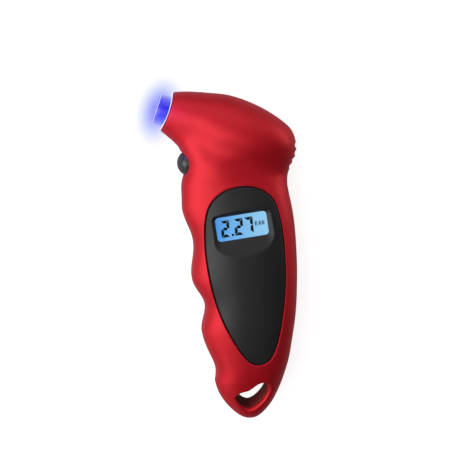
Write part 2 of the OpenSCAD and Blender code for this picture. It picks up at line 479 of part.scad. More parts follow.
front_shell();
rear_shell();
front_panel();
display_window();
lcd_glass();
light_guide();
lcd_holder();
zebra_strip();
main_board();
controller_cap();
board_parts();
backlight_led();
pressure_sensor();
air_tube();
side_switch();
switch_plunger();
power_button();
nozzle_tip();
valve_seal();
inlet_stem();
retaining_ring();
led_board();
nozzle_leds();
led_wires();
mouth_ring();
battery_cover();
cover_screw();
button_cells();
contact_spring();
contact_plate();
battery_wires();
shell_screws();
board_screws();
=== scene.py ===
# Digital tyre pressure gauge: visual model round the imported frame.
import math
import bpy
import bmesh
import numpy as np
from mathutils import Vector, Matrix
from mathutils.geometry import delaunay_2d_cdt


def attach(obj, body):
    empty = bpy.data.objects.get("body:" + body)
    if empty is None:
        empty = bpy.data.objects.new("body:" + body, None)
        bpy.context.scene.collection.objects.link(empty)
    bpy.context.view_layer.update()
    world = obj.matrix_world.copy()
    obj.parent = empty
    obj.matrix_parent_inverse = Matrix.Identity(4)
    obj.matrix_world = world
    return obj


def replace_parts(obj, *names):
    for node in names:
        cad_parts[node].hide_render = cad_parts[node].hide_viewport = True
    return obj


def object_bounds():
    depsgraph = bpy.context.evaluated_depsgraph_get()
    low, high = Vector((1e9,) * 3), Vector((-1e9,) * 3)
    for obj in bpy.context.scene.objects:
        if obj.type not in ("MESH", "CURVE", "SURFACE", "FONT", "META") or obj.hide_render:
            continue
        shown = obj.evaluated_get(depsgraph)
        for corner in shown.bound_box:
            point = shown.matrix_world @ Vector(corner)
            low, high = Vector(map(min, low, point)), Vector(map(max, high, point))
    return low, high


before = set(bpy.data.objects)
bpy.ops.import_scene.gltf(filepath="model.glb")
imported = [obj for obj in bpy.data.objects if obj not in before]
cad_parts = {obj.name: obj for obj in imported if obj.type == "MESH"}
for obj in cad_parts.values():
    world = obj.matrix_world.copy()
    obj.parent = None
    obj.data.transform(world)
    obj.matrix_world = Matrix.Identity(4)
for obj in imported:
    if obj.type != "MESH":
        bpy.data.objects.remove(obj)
cad_box = [[float(c) for c in corner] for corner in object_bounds()]

# Drawing frame: millimetres, zero at the display's centre on the parting plane.
FOOT = np.array([-0.52, -14.1, -16.0])


def row_frame(p):
    """Drawing millimetres to metres in the row frame."""
    return (np.asarray(p, float) - FOOT) * 0.001


# ------------------------------------------------------------ housing surface
# [finger x, y, thumb x, y, front height, rear height, front and rear power]
SEC = np.array([
    [-30.0, 49.0, -21.1, 66.1, 9.4, 9.4, 2.0, 2.0],
    [-27.7, 46.5, -14.2, 65.3, 10.3, 10.2, 2.0, 2.0],
    [-25.3, 43.7, -5.3, 63.4, 11.7, 11.4, 2.05, 2.05],
    [-23.2, 40.7, 4.6, 60.7, 13.4, 12.9, 2.1, 2.1],
    [-22.2, 37.9, 14.6, 55.5, 15.2, 14.4, 2.15, 2.2],
    [-21.6, 35.3, 23.4, 49.0, 16.6, 15.6, 2.2, 2.3],
    [-21.2, 32.8, 30.4, 41.6, 17.3, 16.4, 2.25, 2.4],
    [-21.4, 30.4, 32.3, 35.0, 17.2, 16.8, 2.3, 2.6],
    [-22.4, 27.7, 31.6, 29.1, 16.2, 17.0, 2.3, 2.8],
    [-23.7, 24.9, 28.8, 24.2, 15.2, 17.0, 2.35, 3.0],
    [-24.6, 21.4, 26.5, 20.3, 14.5, 17.0, 2.4, 3.1],
    [-25.1, 17.0, 25.5, 15.6, 14.4, 17.1, 2.45, 3.2],
    [-25.8, 11.9, 25.6, 10.7, 14.7, 17.2, 2.5, 3.2],
    [-26.1, 5.8, 26.0, 4.7, 15.1, 17.2, 2.5, 3.2],
    [-26.2, -1.4, 26.1, -2.2, 15.4, 17.2, 2.5, 3.2],
    [-26.3, -9.6, 25.7, -10.0, 15.6, 17.2, 2.5, 3.2],
    [-26.4, -17.8, 25.0, -18.0, 15.7, 17.2, 2.5, 3.2],
    [-26.3, -26.0, 24.1, -26.0, 15.7, 17.2, 2.5, 3.2],
    [-26.0, -34.2, 22.8, -34.2, 15.6, 17.2, 2.5, 3.2],
    [-25.6, -42.4, 21.3, -42.4, 15.3, 17.1, 2.5, 3.2],
    [-25.6, -50.6, 19.3, -50.6, 14.9, 17.0, 2.5, 3.2],
    [-25.0, -58.8, 16.8, -58.8, 14.2, 16.7, 2.5, 3.2],
    [-24.0, -66.5, 14.2, -67.0, 13.2, 15.8, 2.45, 3.0],
    [-23.2, -73.2, 11.4, -73.4, 11.8, 14.2, 2.4, 2.8],
    [-22.3, -78.5, 8.7, -78.8, 10.3, 12.2, 2.3, 2.6],
    [-20.6, -82.9, 6.0, -83.3, 8.8, 10.2, 2.2, 2.4],
    [-18.1, -87.1, 3.0, -87.5, 7.2, 8.1, 2.1, 2.2],
    [-15.2, -90.7, -0.9, -91.3, 5.2, 5.8, 2.0, 2.0],
    [-11.9, -93.4, -4.8, -93.8, 2.7, 3.0, 2.0, 2.0],
    [-8.4, -94.3, -8.4, -94.3, 0.0, 0.0, 2.0, 2.0]])
LAST = len(SEC) - 1
BACK = 16.0
WALL = 2.0
FRONT_FIT = 0.9925     # the faceted CAD model's crest is this much lower than a smooth one


def mirrored(r):
    return np.array([r[2], r[3], r[0], r[1], -r[4], -r[5], r[6], r[7]])


EXT = np.vstack([2 * SEC[0] - SEC[1], SEC, mirrored(SEC[LAST - 1]), mirrored(SEC[LAST - 2])])
CREST = [12.4, -22.4, -48.6, -73.8]
GROOVE = [3.2, 3.7, 2.1]
LEAN = [1.0, 1.0, 0.6]
TILT = math.radians(27)
AXIS_N = np.array([-math.cos(TILT), math.sin(TILT)])
MOUTH = np.array([-25.5, 57.5])
BTN_Y = 32.2
RIB_AT = np.array([[32.4, 33.0], [31.9, 29.6], [30.3, 26.4], [28.5, 23.6]])
RIB_R, RIB_DEPTH = 2.2, 0.7


def spline(a, b, c, d, u):
    return 0.5 * (2 * b + (c - a) * u + (2 * a - 5 * b + 4 * c - d) * u * u + (3 * b - a - 3 * c + d) * u ** 3)


def section(t):
    t = np.asarray(t, float)
    i = np.clip(np.floor(t).astype(int), 0, LAST - 1)
    return spline(EXT[i], EXT[i + 1], EXT[i + 2], EXT[i + 3], (t - i)[..., None])


def groove(y):
    g = np.zeros_like(y)
    for k in range(3):
        hi, lo = CREST[k], CREST[k + 1]
        f = np.clip((y - lo) / (hi - lo), 0, 1) ** LEAN[k]
        g = np.where((y <= hi) & (y > lo), GROOVE[k] * (1 - np.cos(2 * np.pi * f)) / 2, g)
    return g


def smooth(x, a, b):
    f = np.clip((x - a) / (b - a), 0, 1)
    return f * f * (3 - 2 * f)


def soft_min(a, b, k):
    h = np.clip(k - np.abs(a - b), 0, None) / k
    return np.minimum(a, b) - h * h * k / 4


def hollow(p):
    """How far the front is sunk between the head's barrel and the handle."""
    x, y = p[..., 0], p[..., 1]
    line = 33.0 - 0.5 * x + 0.004 * x ** 2
    return 2.9 * np.exp(-((y - line) / 8.0) ** 2) * smooth(x, -27.0, -9.0)


def heights(r, side, off):
    if side > 0:
        return np.maximum(r[..., 4] * FRONT_FIT - off, 0.01)
    if np.ndim(off) == 0 and off <= 0:
        return r[..., 5]
    return np.minimum(np.maximum(r[..., 5] - off, 0.01), BACK - off)


def chord(r):
    a, b = r[..., 0:2], r[..., 2:4]
    v = b - a
    length = np.hypot(v[..., 0], v[..., 1])
    d = v / np.maximum(length, 1e-6)[..., None]
    d = np.where((length < 1e-4)[..., None], np.array([1.0, 0.0]), d)
    return (a + b) / 2, d, length


def rib_depth(t):
    """How deep the thumb scallops cut the outline on row t."""
    o = section(t)[..., 2:4]
    depth = np.zeros(np.shape(t))
    for i in range(4):
        v = RIB_AT[i + 1] - RIB_AT[i] if i < 3 else RIB_AT[3] - RIB_AT[2]
        v = v / np.hypot(*v)
        c = RIB_AT[i] + np.array([-v[1], v[0]]) * (RIB_R - RIB_DEPTH)
        reach = RIB_R - np.hypot(o[..., 0] - c[0], o[..., 1] - c[1])
        depth = np.maximum(depth, reach)
    return np.clip(depth, 0, None)


def skin(t, ph, side, off=0.0):
    """Point of one half's surface on row t at the angle ph, taken in by off."""
    t, ph = np.broadcast_arrays(np.asarray(t, float), np.asarray(ph, float))
    r = section(t)
    mid, d, length = chord(r)
    n = r[..., 6] if side > 0 else r[..., 7]
    c = np.cos(ph)
    s = np.sign(c) * np.abs(c) ** (2 / n)
    x = s * np.maximum(length / 2 - off, 0.01) + groove(r[..., 1]) * ((1 - s) / 2) ** 3
    h = heights(r, side, off)
    e = np.abs(np.sin(ph)) ** (2 / n)
    outer = np.ndim(off) == 0 and off == 0
    if outer:
        x = x - rib_depth(t) * (1 - smooth(h * e, 4.5, 9.0)) * smooth(s, 0.5, 0.8)
    bow = np.where(t < 2, 0.9 * (1 - t / 2) ** 2 * (1 - s * s), 0.0)
    p = mid + d * x[..., None] - AXIS_N * bow[..., None]
    z = (h - hollow(p)) * e if side > 0 else h * e
    if outer and side < 0:
        z = soft_min(z, BACK, 0.5)
    return np.stack([p[..., 0], p[..., 1], side * z], -1)


def plan_to_skin(p, side, off=0.0, lo=2.0, hi=28.6):
    """Row and angle of the surface point over a plan point."""
    p = np.asarray(p, float)
    lo = np.full(len(p), float(lo))
    hi = np.full(len(p), float(hi))
    for _ in range(44):
        m = (lo + hi) / 2
        r = section(m)
        cr = (r[:, 2] - r[:, 0]) * (p[:, 1] - r[:, 1]) - (r[:, 3] - r[:, 1]) * (p[:, 0] - r[:, 0])
        hi = np.where(cr > 0, m, hi)
        lo = np.where(cr > 0, lo, m)
    t = (lo + hi) / 2
    r = section(t)
    mid, d, length = chord(r)
    x = ((p - mid) * d).sum(1)
    half = length / 2 - off
    g = groove(r[:, 1])
    s = np.zeros(len(p))
    for _ in range(40):
        s = np.clip((x - g * ((1 - s) / 2) ** 3) / half, -1, 1)
    n = r[:, 6] if side > 0 else r[:, 7]
    return t, np.arccos(np.clip(np.sign(s) * np.abs(s) ** (n / 2), -1, 1))


def height_at(p, side, off=0.0):
    t, ph = plan_to_skin(p, side, off)
    return skin(t, ph, side, off)[:, 2]


def side_to_skin(y, z, side, off=0.0):
    """Row and angle of the finger-side point seen along X at (y, z)."""
    y, z = np.asarray(y, float), np.abs(np.asarray(z, float))
    lo, hi = np.full(len(y), 3.0), np.full(len(y), 12.0)
    ph = None
    for _ in range(44):
        m = (lo + hi) / 2
        r = section(m)
        n = r[:, 6] if side > 0 else r[:, 7]
        h = heights(r, side, off)
        ph = np.pi - np.arcsin(np.clip(z / h, 0, 1) ** (n / 2))
        if side > 0:
            sunk = hollow(skin(m, ph, side, off)[:, :2])
            ph = np.pi - np.arcsin(np.clip(z / (h - sunk), 0, 1) ** (n / 2))
        above = skin(m, ph, side, off)[:, 1] > y
        lo = np.where(above, m, lo)
        hi = np.where(above, hi, m)
    return (lo + hi) / 2, ph


def inside_box():
    """Factors that keep the smooth housing within the faceted CAD model's box."""
    t, ph = np.meshgrid(np.linspace(0, 28.98, 700), np.linspace(0, np.pi, 240))
    q = np.concatenate([row_frame(skin(t, ph, s)).reshape(-1, 3) for s in (1, -1)])
    lo, hi = np.array(cad_box)
    mid = (lo + hi) / 2
    mid[2] = 0.0
    room = np.minimum(hi - mid, np.where(mid - lo > 1e-6, mid - lo, np.inf))
    return mid, np.minimum(1.0, 0.9999 * room / np.abs(q - mid).max(0))


BOX_MID, BOX_FIT = inside_box()


# ----------------------------------------------------------------- plan curves
def resample(p, n):
    """n points at equal steps along a closed line."""
    p = np.asarray(p, float)
    q = np.vstack([p, p[:1]])
    step = np.hypot(*np.diff(q, axis=0).T)
    at = np.concatenate([[0], np.cumsum(step)])
    u = np.arange(n) * at[-1] / n
    return np.stack([np.interp(u, at, q[:, k]) for k in range(q.shape[1])], 1)


def hull_of_circles(circles, grow, n):
    """Outline round a set of circles [x, y, r], anticlockwise."""
    a = np.arange(720) * 2 * np.pi / 720
    nrm = np.stack([np.cos(a), np.sin(a)], 1)
    c = np.array(circles, float)
    sup = nrm @ c[:, :2].T + (c[:, 2] + grow)
    k = sup.argmax(1)
    p = c[k, :2] + (c[k, 2] + grow)[:, None] * nrm
    # The straight sides bulge a hair, so that no three points lie on one line.
    line = []
    for i in range(len(p)):
        line.append(p[i])
        step = p[(i + 1) % len(p)] - p[i]
        if np.hypot(*step) > 1.0:
            f = np.linspace(0, 1, 160)[1:-1, None]
            line.extend(p[i] + f * step + 4 * f * (1 - f) * 0.02 * np.array([step[1], -step[0]]) / np.hypot(*step))
    return resample(np.array(line), n)


EGG_PTS = np.array([[1.3, 18.4], [7.4, 17.4], [12.8, 14.5], [16.6, 9.8], [18.3, 2.5], [18.7, -7], [18, -18],
                    [16.4, -30], [13.7, -42], [10.3, -53], [7, -60.6], [3.4, -65], [-1.2, -66.4], [-5.4, -64.7],
                    [-8.8, -60], [-12.4, -52], [-15.6, -42.5], [-17.6, -33], [-18.6, -22], [-18.7, -11],
                    [-17.8, -2], [-16.4, 5], [-14, 11], [-10.2, 15], [-5, 17.6]])


def closed_curve(pts, m):
    """Closed line through points listed clockwise, turned anticlockwise, with its outward normals."""
    n = len(pts)
    u = np.arange(m) * n / m
    i = np.floor(u).astype(int)
    p = spline(pts[(i - 1) % n], pts[i % n], pts[(i + 1) % n], pts[(i + 2) % n], (u - i)[:, None])
    p = resample(p[::-1], m)
    v = np.roll(p, -1, 0) - np.roll(p, 1, 0)
    v /= np.hypot(*v.T)[:, None]
    return p, np.stack([v[:, 1], -v[:, 0]], 1)


EGG_FINE, EGG_NRM = closed_curve(EGG_PTS, 2000)


def egg_ring(grow, n):
    return resample(EGG_FINE + grow * EGG_NRM, n)


STRAP_PTS = np.array([[-15.0, -81.6], [-12.6, -79.4], [-8.2, -78.6], [-4.0, -76.4], [-1.2, -75.9], [0.8, -77.2],
                      [1.2, -79.8], [-0.4, -83.0], [-3.4, -85.8], [-6.8, -87.7], [-10.0, -88.0], [-13.2, -85.6]])
STRAP_LINE, STRAP_NRM = (a[::20] for a in closed_curve(STRAP_PTS, 1920))
# The hole's front edge is rounded most on the side away from the display's left.
STRAP_ROUND = 0.22 + 0.78 * smooth(STRAP_NRM @ np.array([0.62, -0.78]), -0.3, 0.7)
STRAP_LEAN = np.array([0.058, 0.088])          # sideways shift per millimetre below the front edge
COVER = [[0.0, -22.5, 10.5], [-1.0, -48.0, 7.0]]
POSTS = [[15.0, 43.0, -11.2], [-18.6, 16.8, -11.0], [-17.4, -54.0, -11.0], [6.2, -72.4, -8.4]]


def circle(c, r, n):
    a = np.arange(n) * 2 * np.pi / n
    return np.stack([c[0] + r * np.cos(a), c[1] + r * np.sin(a)], 1)


def inside(p, poly):
    """Even-odd test of points against a closed line."""
    p, poly = np.asarray(p), np.asarray(poly)
    a, b = poly, np.roll(poly, -1, 0)
    res = np.zeros(len(p), bool)
    for k in range(0, len(p), 4000):
        x, y = p[k:k + 4000, 0:1], p[k:k + 4000, 1:2]
        cut = (a[:, 1] > y) != (b[:, 1] > y)
        dy = np.where(b[:, 1] == a[:, 1], 1e-12, b[:, 1] - a[:, 1])
        xi = a[:, 0] + (y - a[:, 1]) * (b[:, 0] - a[:, 0]) / dy
        res[k:k + 4000] = ((cut & (x < xi)).sum(1) % 2) == 1
    return res


def gap_to(p, poly):
    """Distance from points to a closed line, negative inside it."""
    p, poly = np.asarray(p), np.asarray(poly)
    a, v = poly, np.roll(poly, -1, 0) - poly
    vv = np.maximum((v ** 2).sum(1), 1e-12)
    out = np.empty(len(p))
    for k in range(0, len(p), 3000):
        w = p[k:k + 3000, None, :] - a[None]
        f = np.clip((w * v[None]).sum(2) / vv, 0, 1)
        e = w - f[..., None] * v[None]
        out[k:k + 3000] = np.sqrt((e ** 2).sum(2).min(1))
    return np.where(inside(p, poly), -out, out)


# ---------------------------------------------------------------- mesh builder
class Build:
    """Points in drawing millimetres and faces, turned into one object."""

    def __init__(self):
        self.v, self.f, self.m = [], [], []

    def add(self, pts):
        i = len(self.v)
        self.v.extend(tuple(float(c) for c in p) for p in pts)
        return list(range(i, len(self.v)))

    def ring(self, plan, z):
        plan = np.asarray(plan)
        z = np.broadcast_to(np.asarray(z, float), (len(plan),))
        return self.add(np.column_stack([plan, z]))

    def face(self, idx, mat=0):
        self.f.append(tuple(idx))
        self.m.append(mat)

    def bridge(self, a, b, closed=True, mat=0):
        n = len(a)
        for i in range(n if closed else n - 1):
            j = (i + 1) % n
            self.face((a[i], a[j], b[j], b[i]), mat)

    def fan(self, centre, loop, mat=0):
        n = len(loop)
        for i in range(n):
            self.face((centre, loop[i], loop[(i + 1) % n]), mat)

    def fill(self, outer, holes=(), at=(0, 1), mat=0, more=()):
        """Face inside one loop and outside the others, through the points in more."""
        idx = list(outer) + [i for h in holes for i in h] + list(more)
        pts = np.array([[self.v[i][at[0]], self.v[i][at[1]]] for i in idx])
        loops, k = [], 0
        for lp in [outer, *holes]:
            loops.append(list(range(k, k + len(lp))))
            k += len(lp)
        for tri in triangles(pts, loops):
            self.face([idx[i] for i in tri], mat)

    def done(self, name, body, mats, sharp=38.0, turn=True):
        mesh = bpy.data.meshes.new(name)
        pts = BOX_MID + (row_frame(np.array(self.v)) - BOX_MID) * BOX_FIT
        mesh.from_pydata(pts.tolist(), [], self.f)
        mesh.polygons.foreach_set("material_index", self.m)
        bm = bmesh.new()
        bm.from_mesh(mesh)
        bmesh.ops.remove_doubles(bm, verts=bm.verts, dist=2e-7)
        if turn:
            bmesh.ops.recalc_face_normals(bm, faces=bm.faces)
        for f in bm.faces:
            f.smooth = True
        lim = math.radians(sharp)
        for e in bm.edges:
            e.smooth = not (len(e.link_faces) == 2 and e.calc_face_angle(0.0) > lim)
        open_edges = sum(1 for e in bm.edges if len(e.link_faces) != 2)
        bm.to_mesh(mesh)
        bm.free()
        obj = bpy.data.objects.new(name, mesh)
        bpy.context.scene.collection.objects.link(obj)
        for m in mats if isinstance(mats, (list, tuple)) else [mats]:
            mesh.materials.append(m)
        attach(obj, body)
        print("piece", name, len(mesh.vertices), "points", open_edges, "open edges")
        return obj


def triangles(pts, loops, lines=()):
    """Delaunay triangles inside the first loop and outside the others, told apart by counting crossed edges, with edges along the lines."""
    walls = [(lp[i], lp[(i + 1) % len(lp)]) for lp in loops for i in range(len(lp))]
    edges = walls + [(ln[i], ln[i + 1]) for ln in lines for i in range(len(ln) - 1)]
    ov, _, of, ids, _, _ = delaunay_2d_cdt([Vector((float(x), float(y))) for x, y in pts], edges, [], 0, 1e-9)
    back = [i[0] if len(i) else -1 for i in ids]
    tri = [tuple(back[k] for k in f) for f in of]
    if any(k < 0 for f in tri for k in f):
        raise ValueError("crossing lines in a triangulation")
    walls = {frozenset(e) for e in walls}
    at_edge = {}
    for k, f in enumerate(tri):
        for i in range(3):
            at_edge.setdefault(frozenset((f[i], f[(i + 1) % 3])), []).append(k)
    state = [None] * len(tri)
    todo = []
    for e, ks in at_edge.items():
        if len(ks) == 1 and state[ks[0]] is None:
            state[ks[0]] = e in walls
            todo.append(ks[0])
    while todo:
        k = todo.pop()
        f = tri[k]
        for i in range(3):
            e = frozenset((f[i], f[(i + 1) % 3]))
            for j in at_edge[e]:
                if state[j] is None:
                    state[j] = state[k] != (e in walls)
                    todo.append(j)
    return [f for f, inside_it in zip(tri, state) if inside_it]


# ---------------------------------------------------------------- shell halves
T_END = 28.9
T_FLAT = 20.0          # behind this row the two edges of a shell are joined by a flat web


def travel(m=4000):
    t = np.linspace(0, T_END, m)
    r = section(t)
    sp = np.maximum(np.hypot(*np.gradient(r[:, 0:2], t, axis=0).T), np.hypot(*np.gradient(r[:, 2:4], t, axis=0).T))
    w = np.concatenate([[0], np.cumsum((sp[1:] + sp[:-1]) / 2 * np.diff(t))])
    return t, w


TRAVEL_T, TRAVEL_W = travel()


def uv(t, ph):
    return np.stack([np.interp(t, TRAVEL_T, TRAVEL_W), np.asarray(ph) / np.pi * 52.0], 1)


def angle_at_height(t, z, side):
    """Angle on the thumb side at which row t is z high."""
    r = section(t)
    n = r[:, 6] if side > 0 else r[:, 7]
    return np.arcsin(np.clip(z / np.maximum(heights(r, side, 0.0), 1e-3), 0, 1) ** (n / 2))


def even_angles(t, side, step, off=0.0):
    """Angles that cut one row into equal lengths."""
    ph = np.linspace(0, np.pi, 500)
    p = skin(np.full(500, t), ph, side, off)
    at = np.concatenate([[0], np.cumsum(np.sqrt((np.diff(p, axis=0) ** 2).sum(1)))])
    n = max(int(round(at[-1] / step)), 4)
    return np.interp(np.linspace(0, at[-1], n + 1), at, ph)


def stadium_half(grow, n):
    """Half of the button's slot, from its upper end over the side to its lower end, as (y, z)."""
    r = 5.7 + grow
    a = np.linspace(0, np.pi, n - 2)
    p = np.vstack([[[r, 0.0]], np.stack([r * np.cos(a), 1.0 + r * np.sin(a)], 1), [[-r, 0.0]]])
    return np.stack([BTN_Y + p[:, 0], p[:, 1]], 1)


def fillet(r, k):
    """Steps across a rounded edge: distance from the wall and drop."""
    a = np.linspace(0, np.pi / 2, k)
    return r * (1 - np.cos(a)), r * (1 - np.sin(a))


def shell(side, name, mats):
    b = Build()
    t_in = 22.8 if side > 0 else 22.0          # where the cavity ends
    T, PH, DZ, DX, IN = [], [], [], [], []

    def put(t, ph, dz=0.0, dx=0.0, inset=0.0):
        t, ph = np.atleast_1d(np.asarray(t, float)), np.atleast_1d(np.asarray(ph, float))
        t, ph = np.broadcast_arrays(t, ph)
        i = sum(len(a) for a in T)
        T.append(t)
        PH.append(ph)
        for store, val in ((DZ, dz), (DX, dx), (IN, inset)):
            store.append(np.broadcast_to(np.asarray(val, float), t.shape))
        return list(range(i, i + len(t)))

    # Rows along the body, closer together at the mouth's rounded edge and over the thumb ribs.
    rim_r = 0.75
    rim_d, _ = fillet(rim_r, 6)
    rim_t = rim_d / 7.0
    base = np.interp(np.arange(1.6, TRAVEL_W[-1] - 0.3, 0.95), TRAVEL_W, TRAVEL_T)
    ribs = np.arange(6.5, 10.7, 0.055)
    base = base[(base < 6.45) | (base > 10.75)]
    rows = np.unique(np.concatenate([rim_t, base, np.arange(6.5, 10.71, 0.11), [T_FLAT, T_END, 28.45, 28.7]]).round(6))
    rows = rows[np.concatenate([[True], np.diff(rows) > 0.008])]

    def rim_inset(t):
        d = t * 7.0
        e = np.clip(rim_r - d, 0, rim_r)
        return rim_r - np.sqrt(np.clip(rim_r ** 2 - e ** 2, 0, None))

    # Edge loop: thumb side, tip, finger side with the button's slot, mouth.
    fd, fdrop = fillet(0.55, 5)
    n_slot = 47
    slot_yz = stadium_half(0, n_slot)
    far = 5.7 + fd[-1] + 1.2
    y_of = skin(rows, np.pi, side)[:, 1]
    lower = rows[(y_of < BTN_Y - far)][::-1]
    upper = rows[(y_of > BTN_Y + far)][::-1]
    edge = []
    e_thumb = put(rows, 0.0, inset=rim_inset(rows))
    tip_ph = np.linspace(0, np.pi, 9)[1:-1]
    e_tip = put(T_END, tip_ph)
    e_low = put(lower, np.pi)
    ends_lo, ends_up = [], []
    for d, drop in list(zip(fd, fdrop))[:0:-1]:
        t, ph = side_to_skin([BTN_Y - 5.7 - d], [0.0], side)
        ends_lo += put(t, ph, dx=drop)
    t, ph = side_to_skin(slot_yz[::-1, 0], slot_yz[::-1, 1], side)
    e_slot = put(t, ph, dx=fdrop[0])
    for d, drop in list(zip(fd, fdrop))[1:]:
        t, ph = side_to_skin([BTN_Y + 5.7 + d], [0.0], side)
        ends_up += put(t, ph, dx=drop)
    e_up = put(upper, np.pi, inset=rim_inset(upper))
    mouth_ph = even_angles(0.0, side, 0.8)[::-1][1:-1]
    e_mouth = put(0.0, mouth_ph, inset=rim_inset(np.zeros(1)))
    e_finger = e_low + ends_lo + e_slot + ends_up + e_up
    loops = [e_thumb + e_tip + e_finger + e_mouth]

    # Rounded edges round the holes.
    round_lines = []
    for k, (d, drop) in enumerate(list(zip(fd, fdrop))[1:] + [(1.0, 0.0)]):
        yz = stadium_half(d, n_slot)[1:-1]
        t, ph = side_to_skin(yz[:, 0], yz[:, 1], side)
        line = put(t, ph, dx=drop)
        round_lines.append([ends_up[k]] + line + [ends_lo[-1 - k]] if k < len(ends_up) else line)
    plan_holes = []

    def plan_hole(ring, r, steps, keep, size=1.0):
        """Hole seen in plan: its loop at the foot of a rounded edge of radius r times size."""
        d, drop = fillet(r, steps)
        lp = ring(0.0)
        t, ph = plan_to_skin(lp, side)
        loop = put(t, ph, dz=drop[0] * size)
        for dd, dr in list(zip(d, drop))[1:] + [(r + keep * 0.5, 0.0)]:
            t, ph = plan_to_skin(ring(dd), side)
            line = put(t, ph, dz=dr * size)
            round_lines.append(line + [line[0]])
        loops.append(loop)
        plan_holes.append((lp, r + keep))
        return loop, lp

    strap_round = STRAP_ROUND if side > 0 else np.full(len(STRAP_LINE), 0.35)
    strap_line = STRAP_LINE + STRAP_LEAN * (1.5 if side > 0 else 18.5)
    strap, _ = plan_hole(lambda g: strap_line + (g * strap_round)[:, None] * STRAP_NRM, 3.0, 9, 0.7, strap_round)
    bores = []
    if side > 0:
        opening, opening_plan = plan_hole(lambda g: egg_ring(0.2 + g, 260), 0.5, 5, 0.75)
    else:
        opening, opening_plan = plan_hole(lambda g: hull_of_circles(COVER, 0.2 + g, 120), 0.3, 4, 0.7)
        for p in POSTS:
            bores.append((p, *plan_hole(lambda g, p=p: circle(p, 2.7 + g, 40), 0.3, 4, 0.6)))

    # Points between, left out near the holes.
    ft, fp = [], []
    for k, t in enumerate(rows[1:-1]):
        ph = even_angles(t, side, 0.95)
        if k % 2:
            ph = (ph[1:] + ph[:-1]) / 2
        zz = np.abs(skin(np.full(len(ph), t), ph, side)[:, 2])
        ph = ph[zz > 0.6]
        a = angle_at_height(np.array([t, t]), np.array([0.16, 0.34]), side)
        ph = np.concatenate([ph, a, np.pi - a])
        ft.append(np.full(len(ph), t))
        fp.append(ph)
    for t in ribs:
        z = np.linspace(0.9, 9.5, 12)
        a = angle_at_height(np.full(12, t), z, side)
        ft.append(np.full(12, t))
        fp.append(a)
    ft, fp = np.concatenate(ft), np.concatenate(fp)
    p = skin(ft, fp, side)
    keep = np.ones(len(ft), bool)
    for lp, room in plan_holes:
        keep &= gap_to(p[:, :2], lp) > room
    full_slot = np.vstack([slot_yz, np.stack([slot_yz[::-1, 0], -slot_yz[::-1, 1]], 1)])
    near = (fp > np.pi / 2) & (ft > 3) & (ft < 12)
    keep &= ~near | (gap_to(p[:, 1:3], full_slot) > 1.25)
    # Put the kept points, taken in near the mouth's rounded edge.
    put(ft[keep], fp[keep], inset=rim_inset(ft[keep]))

    t, ph = np.concatenate(T), np.concatenate(PH)
    dz, dx, inset = np.concatenate(DZ), np.concatenate(DX), np.concatenate(IN)
    p = skin(t, ph, side)
    mid, d, length = chord(section(t))
    # Fine V line where the two halves meet.
    seam = 0.16 * np.clip(1 - np.abs(p[:, 2]) / 0.34, 0, 1) * np.clip(length / 6, 0, 1)
    p[:, :2] -= d * (np.where(ph < np.pi / 2, 1.0, -1.0) * seam)[:, None]
    to_mid = np.column_stack([mid, np.zeros(len(t))]) - p
    p += to_mid / np.maximum(np.sqrt((to_mid ** 2).sum(1)), 1e-6)[:, None] * inset[:, None]
    p[:, 2] -= side * dz
    p[:, 0] += dx
    i0 = len(b.v)
    b.add(p)
    for tri in triangles(uv(t, ph), loops, round_lines):
        b.face([i0 + k for k in tri])

    # Inner surface.
    def off_at(t):
        return WALL - 0.18 * (1 - smooth(t, 0.0, 3.0))

    T2, PH2 = [], []

    def put2(t, ph):
        t, ph = np.broadcast_arrays(np.atleast_1d(np.asarray(t, float)), np.atleast_1d(np.asarray(ph, float)))
        i = sum(len(a) for a in T2)
        T2.append(t)
        PH2.append(ph)
        return list(range(i, i + len(t)))

    more = np.linspace(T_FLAT, t_in, 5)[1:]
    near_rows = rows[rows <= T_FLAT]
    i_thumb = put2(near_rows, 0.0)
    i_thumb2 = put2(more, 0.0)
    end_ph = even_angles(t_in, side, 2.5, WALL)[1:-1]
    i_end = put2(t_in, end_ph)
    i_low2 = put2(more[::-1], np.pi)
    i_low = put2(lower[lower <= T_FLAT], np.pi)
    i_ends_lo, i_ends_up = [], []
    for d in fd[:0:-1]:
        t, ph = side_to_skin([BTN_Y - 5.7 - d], [0.0], side, WALL)
        i_ends_lo += put2(t, ph)
    t, ph = side_to_skin(slot_yz[::-1, 0], slot_yz[::-1, 1], side, WALL)
    i_slot = put2(t, ph)
    for d in fd[1:]:
        t, ph = side_to_skin([BTN_Y + 5.7 + d], [0.0], side, WALL)
        i_ends_up += put2(t, ph)
    i_up = put2(upper, np.pi)
    i_mouth = put2(0.0, mouth_ph)
    i_finger = i_low + i_ends_lo + i_slot + i_ends_up + i_up
    loops2 = [i_thumb + i_thumb2 + i_end + i_low2 + i_finger + i_mouth]
    holes2 = []
    inner_loops = []
    if side > 0:
        inner_shapes = [opening_plan]
    else:
        inner_shapes = [hull_of_circles(COVER, 1.4, 90)] + [circle(q, 3.3, 32) for q in POSTS[:3]]
    for lp in inner_shapes:
        t, ph = plan_to_skin(lp, side, WALL)
        k = put2(t, ph)
        loops2.append(k)
        inner_loops.append(k)
        holes2.append(lp)
    gt, gp = [], []
    for t in np.interp(np.arange(2.5, TRAVEL_W[-1], 2.6), TRAVEL_W, TRAVEL_T):
        if t < t_in - 0.2:
            ph = even_angles(t, side, 2.6, WALL)[1:-1]
            gt.append(np.full(len(ph), t))
            gp.append(ph)
    gt, gp = np.concatenate(gt), np.concatenate(gp)
    q = skin(gt, gp, side, WALL)
    keep = np.ones(len(gt), bool)
    for lp in holes2:
        keep &= gap_to(q[:, :2], lp) > 0.9
    near = (gp > np.pi / 2) & (gt > 3) & (gt < 12)
    keep &= ~near | (gap_to(q[:, 1:3], full_slot) > 1.5)
    put2(gt[keep], gp[keep])
